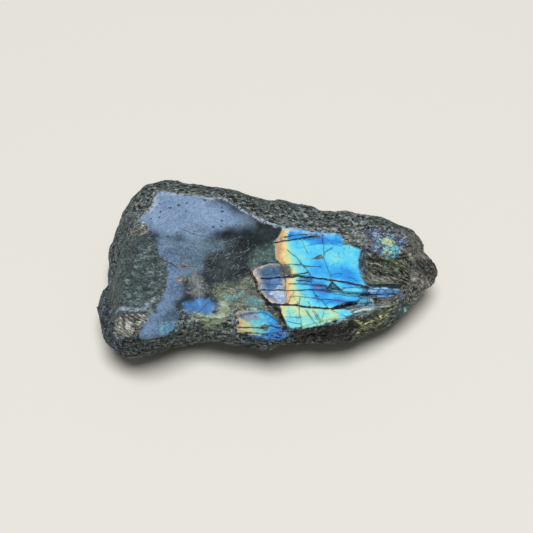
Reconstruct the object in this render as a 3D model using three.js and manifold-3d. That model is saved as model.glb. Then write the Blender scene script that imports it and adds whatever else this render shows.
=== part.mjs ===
// A palm-sized chunk of labradorite: a raw, weathered lump with one side ground flat and polished.
// The stone is one solid. Its natural form is lofted through five outlines and roughened, and then
// everything that grinding and breaking took away is cut from it.
// Millimetres, +Z up. The origin is under the middle of the stone, on the surface that it lies on.

import * as THREE from "three";
import { mergeVertices } from "three/addons/utils/BufferGeometryUtils.js";
import Module from "manifold-3d";

const wasm = await Module();
wasm.setup();

// ---------------------------------------------------------------------------------------------
// Driving dimensions
// ---------------------------------------------------------------------------------------------

// The stone's greatest reach from its axis, along X and Y, and where that axis stands.
const HALF_LENGTH = 59;
const HALF_DEPTH = 34;
const AXIS = new THREE.Vector2(0, -5);

// The polished face: its height over the axis, and how it leans to the right and to the front.
const FACE_HEIGHT = 34;
const FACE_SLOPE_X = -0.03;
const FACE_SLOPE_Y = 0.07;

// The lump's mesh: columns round the axis, and rows from the foot to the crown.
const COLUMNS = 118;
const ROWS = 31;

// How far the flank and the foot are drawn in under the belly, and how high the flank is.
const FLANK_INSET = 6;
const FLANK_HEIGHT = 7;
const FOOT_INSET = 13;
const FOOT_DEPTH = 2.6;

// The crown stands over the polished face before it is ground away.
const CROWN_RISE = 5;
const CROWN_SHARE = 0.84;

// Raw surface: broad lumps, flat chips that lean every way, and sharp ridges.
const LUMP_SIZE = 15;
const LUMP_HEIGHT = 1.2;
const CHIP_SIZE = 9;
const CHIP_HEIGHT = 2;
const RIDGE_SIZE = 5;
const RIDGE_HEIGHT = 0.7;
const RIDGE_MEAN = 0.45;

// The raw surface is quieter towards the polished face: its least share, and how far down it grows.
const RIM_SHARE = 0.3;
const RIM_REACH = 8;

const STONE = { color: 0x3d4543, roughness: 0.55, metalness: 0 };

// ---------------------------------------------------------------------------------------------
// Outlines, anticlockwise from the nose at the right
// ---------------------------------------------------------------------------------------------

// The widest outline: [x, y, z].
const BELLY = [
  [60.4, -1.4, 19],
  [57.4, 5, 20],
  [54, 11, 19],
  [50, 14.6, 18],
  [39, 18, 18],
  [22, 21.4, 18],
  [5, 25.4, 18],
  [-12, 29, 18],
  [-29, 32.6, 18],
  [-38, 33.8, 18],
  [-46, 31.2, 18],
  [-50.5, 25, 18],
  [-53.6, 17, 18],
  [-54.6, 8, 18],
  [-54.4, 0, 18],
  [-55.6, -8, 17],
  [-58.8, -14.6, 16],
  [-58.8, -21, 16],
  [-56, -27.2, 16],
  [-51.6, -31.4, 16],
  [-46, -33.8, 16],
  [-40, -32.4, 16],
  [-34, -29.8, 17],
  [-25, -27.6, 18],
  [-17, -27.6, 18],
  [-9, -30, 18],
  [0, -31.4, 18],
  [10, -29.4, 17],
  [19, -29.4, 16],
  [30, -27.4, 16],
  [38, -23, 16],
  [47, -18, 16],
  [52, -12.6, 17],
  [57, -6.5, 18],
];

// The outline at which the sides turn in towards the polished face: [x, y, z].
const SHOULDER = [
  [55.5, -2, 25.5],
  [53.5, 4, 26],
  [51, 10, 25.5],
  [47, 13, 25],
  [39, 15.4, 25],
  [31, 17.2, 25],
  [22, 18.6, 25.5],
  [15, 20.2, 25.5],
  [5, 22.8, 25.5],
  [-4, 25, 25.5],
  [-20, 28.2, 25.5],
  [-31, 30.8, 25.5],
  [-38, 31.8, 25.5],
  [-44, 30.2, 25.5],
  [-48, 24, 25.5],
  [-51, 15, 25.5],
  [-52, 6, 25.5],
  [-51.5, -1, 25.5],
  [-52.6, -11, 25.5],
  [-54, -19, 25],
  [-53.4, -26, 25],
  [-50, -32, 25],
  [-44, -34.6, 25],
  [-37, -33.8, 25],
  [-31, -30.5, 26],
  [-25, -28, 26],
  [-17, -27.8, 26],
  [-8, -30, 26],
  [0, -31.6, 26],
  [9, -30.6, 26],
  [19, -29.6, 26],
  [29, -27.4, 26],
  [38, -23.8, 25.5],
  [45, -19, 25],
  [50, -12, 25],
];

// The border of the polished face, and the crest of the raw end: [x, y, height over the face].
const RIM = [
  [51, -4, -3.6],
  [50.5, 2, -3],
  [48.5, 7.2, -2.2],
  [42, 8.8, -1.2],
  [35, 8.4, -0.5],
  [27, 6.4, 0],
  [20, 5, 0],
  [10, 6.6, 0],
  [0, 9.2, 0],
  [-8, 13.2, 0],
  [-13, 16.8, 0],
  [-20, 17.6, 0],
  [-30, 18.8, 0],
  [-36.5, 20.2, 0],
  [-38.4, 15, 0],
  [-42.4, 10.4, 0],
  [-43.8, 5, 0],
  [-44.6, -2, 0],
  [-45.4, -9, 0],
  [-48, -15, 0],
  [-48.4, -22, 0],
  [-47.5, -30, 0],
  [-42, -34, 0],
  [-35, -33.6, 0],
  [-30.5, -30.4, 0],
  [-25, -26.6, 0],
  [-17, -25.8, 0],
  [-9.5, -26.6, 0],
  [-4, -31, 0],
  [4, -32.4, 0],
  [8.6, -29.8, 0],
  [18.5, -27.2, 0],
  [25, -25.2, 0],
  [37, -23, 0],
  [44, -17.6, -0.4],
  [49, -11, -2],
];

// ---------------------------------------------------------------------------------------------
// What breaking took away
// ---------------------------------------------------------------------------------------------

// Every hollow and ledge is an outline in plan over a floor, which hangs depth under the polished
// face at the anchor and rises towards that face by the slope [along x, along y].

// Hollows have rough floors: wall is the slope of their sides, grain the bearing of their ridges.
const HOLLOWS = [
  {
    // The raw end beyond the flashing slab.
    outline: [
      [32.4, 1.4],
      [31, -4],
      [31.4, -10.8],
      [35, -13.2],
      [47, -14],
      [58, -10],
      [60, 0],
      [47, 0.4],
      [41, -1.4],
      [36.5, 0.4],
    ],
    anchor: [38, -6],
    depth: 5.4,
    slope: [0.06, -0.06],
    wall: 1.1,
    grain: -28,
  },
  {
    // The crystals' shelf over that hollow.
    outline: [
      [33, 6.4],
      [34.6, 0],
      [41, -4],
      [48, -4],
      [54, 2],
      [47, 9],
      [38, 8.4],
    ],
    anchor: [41, 1],
    depth: 1.9,
    slope: [-0.06, 0.1],
    wall: 0.5,
    grain: -12,
  },
  {
    // Lumps between the slab and the crest.
    outline: [
      [24.2, 4],
      [25.6, 0.8],
      [28.4, 0.5],
      [33, -0.6],
      [37, 1.4],
      [37, 9],
      [29, 9],
    ],
    anchor: [29, 3],
    depth: 1.2,
    slope: [-0.03, 0],
    wall: 0.6,
    grain: 5,
  },
  {
    // The raw corner at the front left.
    outline: [
      [-36.6, -24.4],
      [-42.6, -24.2],
      [-46.5, -24.7],
      [-58, -23],
      [-58, -42],
      [-41.2, -42],
      [-41, -31.6],
      [-39.3, -27.6],
    ],
    anchor: [-44, -28],
    depth: 1.6,
    slope: [0.12, 0.12],
    wall: 0.5,
    grain: 60,
  },
  {
    // The broken wedge in the front.
    outline: [
      [-29.8, -25.2],
      [-28, -24.2],
      [-24.5, -25],
      [-20, -26.4],
      [-16, -30],
      [-16, -42],
      [-34, -42],
      [-31.4, -33.4],
    ],
    anchor: [-26, -26],
    depth: 2,
    slope: [0, 0.5],
    wall: 0.8,
    grain: -12,
  },
  {
    // A dull flake lost from the left border.
    outline: [
      [-46, 7.6],
      [-41, 7.8],
      [-39, 5],
      [-39.6, 1.8],
      [-46, 1],
    ],
    anchor: [-41, 4],
    depth: 0.8,
    slope: [0.1, 0],
    wall: 0.5,
    grain: 80,
  },
];

// The rough floors: the length, spacing and height of their ridges, how far their outlines wander,
// and the size of their mesh's cells.
const GRAIN_LENGTH = 12;
const GRAIN_SPACING = 5;
const GRAIN_HEIGHT = 1.3;
const WANDER = 1.4;
const FLOOR_CELL = 1.25;

// Ledges have flat floors and upright sides.
const LEDGES = [
  {
    // The shelf in front of the flashing slab, whose left edge it leaves standing.
    outline: [
      [-4.9, -8.6],
      [-4.7, -10.7],
      [-3.2, -12.5],
      [-2.3, -14.7],
      [-2.1, -16.5],
      [-0.8, -18.7],
      [0.5, -20.4],
      [2.2, -21.2],
      [4.4, -23],
      [5.2, -25],
      [7.2, -29],
      [8, -42],
      [-12, -42],
      [-20, -27],
      [-19, -19],
      [-10, -12],
    ],
    anchor: [-6, -9],
    depth: 0,
    slope: [-0.07, 0.07],
  },
  {
    // The lower step of that shelf, down to the stone's front.
    outline: [
      [-10.4, -25.2],
      [-6.3, -24],
      [-1.9, -23.4],
      [0.2, -23.8],
      [3, -25.8],
      [6.4, -29],
      [9.4, -30.4],
      [11, -42],
      [-14, -42],
    ],
    anchor: [0, -23.4],
    depth: 2.5,
    slope: [0.01, 0.17],
  },
  {
    // The groove under the sliver at the right.
    outline: [
      [21.6, -22.8],
      [24.4, -21.4],
      [29, -20],
      [31, -19.2],
      [31.4, -17],
      [38, -17.1],
      [47, -16.6],
      [60, -16],
      [60, -21],
      [44, -20.4],
      [38, -21.4],
      [30, -21.9],
      [24.6, -22.9],
    ],
    anchor: [31, -17],
    depth: 1.4,
    slope: [0.02, 0.05],
  },
  {
    // The steps under that groove, down to the front.
    outline: [
      [37, -24],
      [38, -21.2],
      [45, -20],
      [60, -19],
      [60, -42],
      [35, -42],
      [35.5, -26],
    ],
    anchor: [38, -21.2],
    depth: 2.6,
    slope: [0, 0.35],
  },
];

// Cleavage faces on the sides and the underside: the direction that each looks in, and how far it
// bites into the lump.
const CLEAVAGES = [
  { facing: [-0.9, 0.3, 0.3], bite: 1 },
  { facing: [-0.8, -0.2, -0.6], bite: 2.4 },
  { facing: [-0.7, 0.7, 0.1], bite: 1.6 },
  { facing: [0.25, 0.85, -0.46], bite: 3 },
  { facing: [-0.35, 0.75, -0.56], bite: 3.4 },
  { facing: [0.78, 0.25, -0.6], bite: 3.2 },
  { facing: [0.72, -0.5, -0.5], bite: 2.4 },
  { facing: [0.15, -0.82, -0.56], bite: 2.2 },
  { facing: [-0.3, -0.8, -0.55], bite: 2.4 },
];

// ---------------------------------------------------------------------------------------------
// Noise
// ---------------------------------------------------------------------------------------------

// A repeatable number from -1 to 1 for a corner of the unit lattice.
function latticeValue(i, j, k, seed) {
  let h = Math.imul(i, 374761393) + Math.imul(j, 668265263) + Math.imul(k, 2147483647);
  h = Math.imul(h ^ (h >>> 13), 1274126177) + Math.imul(seed, 974634777);
  h = Math.imul(h ^ (h >>> 15), 2246822519);
  return ((h ^ (h >>> 16)) >>> 0) / 0x7fffffff - 1;
}

// Smooth noise from -1 to 1 whose lumps are about one unit across.
function noise(point, seed = 0) {
  const cell = point.clone().floor();
  const part = point.clone().sub(cell);
  const ease = part.clone().multiply(part).multiply(part.clone().multiplyScalar(-2).addScalar(3));
  let sum = 0;
  for (let corner = 0; corner < 8; corner++) {
    const [i, j, k] = [corner & 1, (corner >> 1) & 1, corner >> 2];
    const weight =
      (i ? ease.x : 1 - ease.x) * (j ? ease.y : 1 - ease.y) * (k ? ease.z : 1 - ease.z);
    sum += weight * latticeValue(cell.x + i, cell.y + j, cell.z + k, seed);
  }
  return sum;
}

// Noise folded about zero, so that it has sharp crests: from -1 to 1.
function ridges(point, seed = 0) {
  return 1 - 2 * Math.abs(noise(point, seed));
}

// Faces that lean every way, about one unit across. Every face has a home in the lattice, and the
// nearest home's face is the one that counts, but for a narrow blend at their borders.
const FACE_CRISPNESS = 16;

function leaningFaces(point, seed = 0) {
  const cell = point.clone().floor();
  let total = 0;
  let height = 0;
  for (let n = 0; n < 27; n++) {
    const corner = new THREE.Vector3(n % 3, Math.floor(n / 3) % 3, Math.floor(n / 9)).subScalar(1);
    const home = corner.add(cell);
    const value = (offset) => latticeValue(home.x, home.y, home.z, seed + offset);
    const spot = new THREE.Vector3(value(0), value(1), value(2)).multiplyScalar(0.4).add(home);
    const away = point.clone().sub(spot.addScalar(0.5));
    const weight = Math.exp(-FACE_CRISPNESS * away.lengthSq()) + 1e-12;
    const lean = new THREE.Vector3(value(3), value(4), value(5));
    total += weight;
    height += weight * (away.dot(lean) + 0.3 * value(6));
  }
  return height / total;
}

// How far the raw surface stands out at a point.
function rawRelief(point) {
  const lumps = noise(point.clone().divideScalar(LUMP_SIZE), 1) * LUMP_HEIGHT;
  const chips = leaningFaces(point.clone().divideScalar(CHIP_SIZE), 20) * CHIP_HEIGHT;
  const crests = (ridges(point.clone().divideScalar(RIDGE_SIZE), 2) - RIDGE_MEAN) * RIDGE_HEIGHT;
  const under = (faceHeight(point.x, point.y) - point.z) / RIM_REACH;
  return (lumps + chips + crests) * THREE.MathUtils.clamp(under, RIM_SHARE, 1);
}

// ---------------------------------------------------------------------------------------------
// Geometry helpers
// ---------------------------------------------------------------------------------------------

// The height of the polished face over a point in plan.
function faceHeight(x, y) {
  return FACE_HEIGHT + FACE_SLOPE_X * x + FACE_SLOPE_Y * y;
}

// A geometry with one vertex for each corner.
function joined(geometry) {
  const bare = geometry.index ? geometry.toNonIndexed() : geometry.clone();
  bare.deleteAttribute("normal");
  bare.deleteAttribute("uv");
  return mergeVertices(bare, 1e-3);
}

// A closed mesh as a solid for joining and cutting.
function solidFrom(geometry) {
  const merged = joined(geometry);
  return new wasm.Manifold(
    new wasm.Mesh({
      numProp: 3,
      vertProperties: merged.attributes.position.array,
      triVerts: new Uint32Array(merged.index.array),
    }),
  );
}

// A solid as a mesh geometry again.
function geometryFrom(solid) {
  const mesh = solid.getMesh();
  const geometry = new THREE.BufferGeometry();
  geometry.setAttribute("position", new THREE.BufferAttribute(mesh.vertProperties, mesh.numProp));
  geometry.setIndex(new THREE.BufferAttribute(mesh.triVerts, 1));
  geometry.computeVertexNormals();
  return geometry;
}

// Calls move(point, normal) for each vertex of an indexed geometry, and keeps what it makes of point.
function moveVertices(geometry, move) {
  geometry.computeVertexNormals();
  const places = geometry.attributes.position;
  const normals = geometry.attributes.normal;
  for (let i = 0; i < places.count; i++) {
    const point = new THREE.Vector3().fromBufferAttribute(places, i);
    move(point, new THREE.Vector3().fromBufferAttribute(normals, i));
    places.setXYZ(i, point.x, point.y, point.z);
  }
  return geometry;
}

// ---------------------------------------------------------------------------------------------
// The natural lump
// ---------------------------------------------------------------------------------------------

// A smooth closed outline, as one point for each column of the lump. The columns stand at even
// bearings from the axis, in a plan that is first evened out to a circle.
function outlineColumns(points) {
  const curve = new THREE.CatmullRomCurve3(points, true, "centripetal");
  const fine = curve.getPoints(points.length * 24);
  const round = fine.map(
    (point) => new THREE.Vector2((point.x - AXIS.x) / HALF_LENGTH, (point.y - AXIS.y) / HALF_DEPTH),
  );
  const columns = [];
  for (let c = 0; c < COLUMNS; c++) {
    const bearing = (c / COLUMNS) * 2 * Math.PI;
    const ahead = new THREE.Vector2(Math.cos(bearing), Math.sin(bearing));
    const crossing = round.findIndex(
      (point, i) =>
        i > 0 && ahead.dot(point) > 0 && ahead.cross(round[i - 1]) < 0 && ahead.cross(point) >= 0,
    );
    const [before, after] = [ahead.cross(round[crossing - 1]), ahead.cross(round[crossing])];
    columns.push(fine[crossing - 1].clone().lerp(fine[crossing], before / (before - after)));
  }
  return columns;
}

// An outline drawn in towards the axis by a distance, at another height.
function drawnIn(points, inset, height) {
  return points.map((point) => {
    const reach = new THREE.Vector2(point.x, point.y).sub(AXIS);
    reach.setLength(reach.length() - inset);
    return new THREE.Vector3(AXIS.x + reach.x, AXIS.y + reach.y, height);
  });
}

// The crown that stands over the polished face until it is ground off.
function crownOver(points) {
  return points.map((point) => {
    const x = AXIS.x + (point.x - AXIS.x) * CROWN_SHARE;
    const y = AXIS.y + (point.y - AXIS.y) * CROWN_SHARE;
    return new THREE.Vector3(x, y, faceHeight(x, y) + CROWN_RISE);
  });
}

// The lofted lump with its raw relief and its cleavage faces, as an indexed geometry.
function lumpGeometry() {
  const belly = outlineColumns(BELLY.map((p) => new THREE.Vector3(...p)));
  const shoulder = outlineColumns(SHOULDER.map((p) => new THREE.Vector3(...p)));
  const rim = outlineColumns(
    RIM.map(([x, y, over]) => new THREE.Vector3(x, y, faceHeight(x, y) + over)),
  );
  const foot = drawnIn(belly, FOOT_INSET, -FOOT_DEPTH);
  const flank = drawnIn(belly, FLANK_INSET, FLANK_HEIGHT);
  const crown = crownOver(rim);
  const bottom = new THREE.Vector3(AXIS.x, AXIS.y, -FOOT_DEPTH);
  const top = new THREE.Vector3(AXIS.x, AXIS.y, FACE_HEIGHT + CROWN_RISE);

  const places = [...bottom.toArray()];
  for (let c = 0; c < COLUMNS; c++) {
    const stations = [foot[c], flank[c], belly[c], shoulder[c], rim[c], crown[c]];
    const profile = new THREE.CatmullRomCurve3(stations, false, "centripetal");
    for (let r = 0; r < ROWS; r++) places.push(...profile.getPointAt(r / (ROWS - 1)).toArray());
  }
  places.push(...top.toArray());

  const index = [];
  const topIndex = places.length / 3 - 1;
  const at = (c, r) => 1 + (c % COLUMNS) * ROWS + r;
  for (let c = 0; c < COLUMNS; c++) {
    index.push(0, at(c + 1, 0), at(c, 0));
    index.push(topIndex, at(c, ROWS - 1), at(c + 1, ROWS - 1));
    for (let r = 0; r < ROWS - 1; r++) {
      index.push(at(c, r), at(c + 1, r), at(c + 1, r + 1));
      index.push(at(c, r), at(c + 1, r + 1), at(c, r + 1));
    }
  }
  const geometry = new THREE.BufferGeometry();
  geometry.setAttribute("position", new THREE.Float32BufferAttribute(places, 3));
  geometry.setIndex(index);

  for (const { facing, bite } of CLEAVAGES) {
    const direction = new THREE.Vector3(...facing).normalize();
    let reach = 0;
    moveVertices(geometry, (point) => {
      reach = Math.max(reach, point.dot(direction));
    });
    moveVertices(geometry, (point) => {
      const proud = point.dot(direction) - (reach - bite);
      if (proud > 0) point.addScaledVector(direction, -proud);
    });
  }
  return moveVertices(geometry, (point, normal) => point.addScaledVector(normal, rawRelief(point)));
}

// ---------------------------------------------------------------------------------------------
// Cutters
// ---------------------------------------------------------------------------------------------

const CUTTER_SIZE = 200;

// Everything over the polished face.
function grindingCutter() {
  const normal = new THREE.Vector3(-FACE_SLOPE_X, -FACE_SLOPE_Y, 1).normalize();
  const turn = new THREE.Quaternion().setFromUnitVectors(new THREE.Vector3(0, 0, 1), normal);
  return new THREE.BoxGeometry(CUTTER_SIZE, CUTTER_SIZE, CUTTER_SIZE)
    .translate(0, 0, CUTTER_SIZE / 2)
    .applyQuaternion(turn)
    .translate(0, 0, FACE_HEIGHT);
}

// Everything under the face that the stone rests on.
function restingCutter() {
  return new THREE.BoxGeometry(CUTTER_SIZE, CUTTER_SIZE, CUTTER_SIZE).translate(
    0,
    0,
    -CUTTER_SIZE / 2,
  );
}

// How far a point in plan is inside an outline; outside it, the distance is negative.
function insideDistance(x, y, outline) {
  let inside = false;
  let least = Infinity;
  for (let i = 0; i < outline.length; i++) {
    const [ax, ay] = outline[i];
    const [bx, by] = outline[(i + 1) % outline.length];
    if (ay > y !== by > y && x < ax + ((y - ay) / (by - ay)) * (bx - ax)) inside = !inside;
    const span = (bx - ax) ** 2 + (by - ay) ** 2;
    const share = THREE.MathUtils.clamp(((x - ax) * (bx - ax) + (y - ay) * (by - ay)) / span, 0, 1);
    least = Math.min(least, Math.hypot(x - ax - share * (bx - ax), y - ay - share * (by - ay)));
  }
  return inside ? least : -least;
}

// The height of a hollow's or a ledge's floor over a point in plan.
function floorHeight(x, y, { anchor, depth, slope }) {
  const rise = slope[0] * (x - anchor[0]) + slope[1] * (y - anchor[1]);
  return faceHeight(x, y) - depth + rise;
}

// A block over a hollow's rough floor, which climbs out of the stone round the hollow's outline.
function hollowCutter(hollow) {
  const outline = hollow.outline.map(([x, y]) => new THREE.Vector2(x, y));
  const box = new THREE.Box2().setFromPoints(outline).expandByScalar(3);
  const middle = box.getCenter(new THREE.Vector2());
  const size = box.getSize(new THREE.Vector2());
  const [across, along] = size.toArray().map((length) => Math.round(length / FLOOR_CELL));
  const block = new THREE.BoxGeometry(size.x, size.y, 2, across, along, 1);
  const turn = THREE.MathUtils.degToRad(-hollow.grain);
  return moveVertices(joined(block.translate(middle.x, middle.y, 0)), (point) => {
    if (point.z > 0) {
      point.z = FACE_HEIGHT * 2;
      return;
    }
    const run = new THREE.Vector2(point.x, point.y).rotateAround(new THREE.Vector2(), turn);
    const spot = new THREE.Vector3(run.x / GRAIN_LENGTH, run.y / GRAIN_SPACING, hollow.depth);
    const stray = noise(new THREE.Vector3(point.x, point.y, 0).divideScalar(3), 6) * WANDER;
    const inside = insideDistance(point.x, point.y, hollow.outline) + stray;
    const rough = (ridges(spot, 4) * GRAIN_HEIGHT * Math.min(hollow.depth, 3)) / 3;
    const wallHeight = faceHeight(point.x, point.y) - inside * hollow.wall;
    point.z = Math.max(floorHeight(point.x, point.y, hollow) + rough, wallHeight);
  });
}

// A block over a ledge's floor, with upright walls along the ledge's outline.
function ledgeCutter(ledge) {
  const shape = new THREE.Shape(ledge.outline.map(([x, y]) => new THREE.Vector2(x, y)));
  const block = new THREE.ExtrudeGeometry(shape, { depth: 1, bevelEnabled: false });
  return moveVertices(joined(block), (point) => {
    point.z = point.z < 0.5 ? floorHeight(point.x, point.y, ledge) : FACE_HEIGHT * 2;
  });
}

// ---------------------------------------------------------------------------------------------
// The stone
// ---------------------------------------------------------------------------------------------

function stoneGeometry() {
  const cutters = [
    grindingCutter(),
    restingCutter(),
    ...HOLLOWS.map(hollowCutter),
    ...LEDGES.map(ledgeCutter),
  ];
  let stone = solidFrom(lumpGeometry());
  for (const cutter of cutters) stone = stone.subtract(solidFrom(cutter));
  return geometryFrom(stone);
}

const stone = new THREE.Mesh(stoneGeometry(), new THREE.MeshStandardMaterial(STONE));
stone.name = "labradorite_chunk";

const part = new THREE.Group();
part.add(stone);

export default part;
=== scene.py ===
"""A palm-sized chunk of labradorite: a raw lump with one face ground flat, which flashes blue.

The stone is one piece. Its form comes from the frame's node and is remeshed finely, then the raw
parts are roughened, cracks are cut, the zones of its surface are marked, and one layered finish
dresses it.
"""

import logging
import math
from dataclasses import dataclass, field, replace
from enum import Enum

import bpy
import numpy as np
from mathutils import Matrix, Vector, noise


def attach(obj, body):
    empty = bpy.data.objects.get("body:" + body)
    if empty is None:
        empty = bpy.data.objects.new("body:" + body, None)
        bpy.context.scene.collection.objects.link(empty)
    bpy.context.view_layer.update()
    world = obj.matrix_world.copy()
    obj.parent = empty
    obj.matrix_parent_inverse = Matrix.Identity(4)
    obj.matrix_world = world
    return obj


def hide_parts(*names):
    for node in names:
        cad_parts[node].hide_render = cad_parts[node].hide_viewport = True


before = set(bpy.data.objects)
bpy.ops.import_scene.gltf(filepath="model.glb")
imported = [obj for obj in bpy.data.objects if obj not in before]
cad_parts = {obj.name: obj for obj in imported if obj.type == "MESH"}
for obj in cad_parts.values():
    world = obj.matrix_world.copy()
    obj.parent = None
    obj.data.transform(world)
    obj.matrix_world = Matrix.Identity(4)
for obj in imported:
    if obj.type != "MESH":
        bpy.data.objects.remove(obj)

MM = 0.001
LOG = logging.getLogger("labradorite")

Point = tuple[float, float]
Outline = tuple[Point, ...]
Triple = tuple[float, float, float]
Colour = tuple[int, int, int]
Stops = tuple[tuple[float, Colour], ...]


def linear(colour: Colour) -> tuple[float, float, float, float]:
    """Turns a display colour into the scene's linear colour.

    Args:
        colour: Red, green and blue from 0 to 255.

    Returns:
        Linear red, green, blue and an alpha of 1.
    """
    shares = [part / 255 for part in colour]
    bare = [s / 12.92 if s <= 0.04045 else ((s + 0.055) / 1.055) ** 2.4 for s in shares]
    return (bare[0], bare[1], bare[2], 1.0)


class Zone(Enum):
    """The parts of the surface that look different, each kept as a distance inside its outline."""

    FRONT = "front"
    END = "end"
    FLANK = "flank"
    FLANK_LOW = "flank_low"
    OLIVE_BAND = "olive_band"
    RAW_CORNER = "raw_corner"
    FLAKE = "flake"
    HOLLOW = "hollow"
    OLIVE_RIDGE = "olive_ridge"
    LUMP = "lump"
    CRESCENT = "crescent"
    VEIN = "vein"
    NOSE_DARK = "nose_dark"
    BACK_CREST = "back_crest"
    LAYERS = "layers"
    GREEN_STEPS = "green_steps"
    TEAL_STEPS = "teal_steps"
    SLATE = "slate"
    SHEEN = "sheen"
    COLUMN = "column"
    GRAIN = "grain"
    SCRATCHED = "scratched"
    MINERAL = "mineral"
    RUST_UPPER = "rust_upper"
    RUST_LOWER = "rust_lower"
    TEAL_EDGE = "teal_edge"
    GOLD = "gold"
    GOLD_DARK = "gold_dark"
    TEAL_UPPER = "teal_upper"
    TEAL_LOWER = "teal_lower"
    BLUE_PATCH = "blue_patch"
    BLUE_EDGE = "blue_edge"
    CORNER_SPOT = "corner_spot"
    CORNER_DARK = "corner_dark"
    SLAB = "slab"
    SLAB_RUN = "slab_run"
    SLAB_BACK = "slab_back"
    SLAB_DEEP = "slab_deep"
    SLAB_MIDDLE = "slab_middle"
    SLAB_FRONT = "slab_front"
    SLAB_TIP = "slab_tip"
    CHIP = "chip"
    SHATTER = "shatter"
    TRIANGLE = "triangle"
    LOBE = "lobe"
    LOBE_BLUE = "lobe_blue"
    LOBE_DARK = "lobe_dark"
    LOBE_PALE = "lobe_pale"
    DUSK = "dusk"
    BROKEN_EDGE = "broken_edge"
    LOWER = "lower"
    LOWER_BAR = "lower_bar"
    LOWER_FOOT = "lower_foot"
    LOWER_PIT = "lower_pit"
    CRYSTALS = "crystals"
    CRYSTALS_BRIGHT = "crystals_bright"
    SLIVER = "sliver"
    CELLS = "cells"
    BROWN = "brown"


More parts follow.
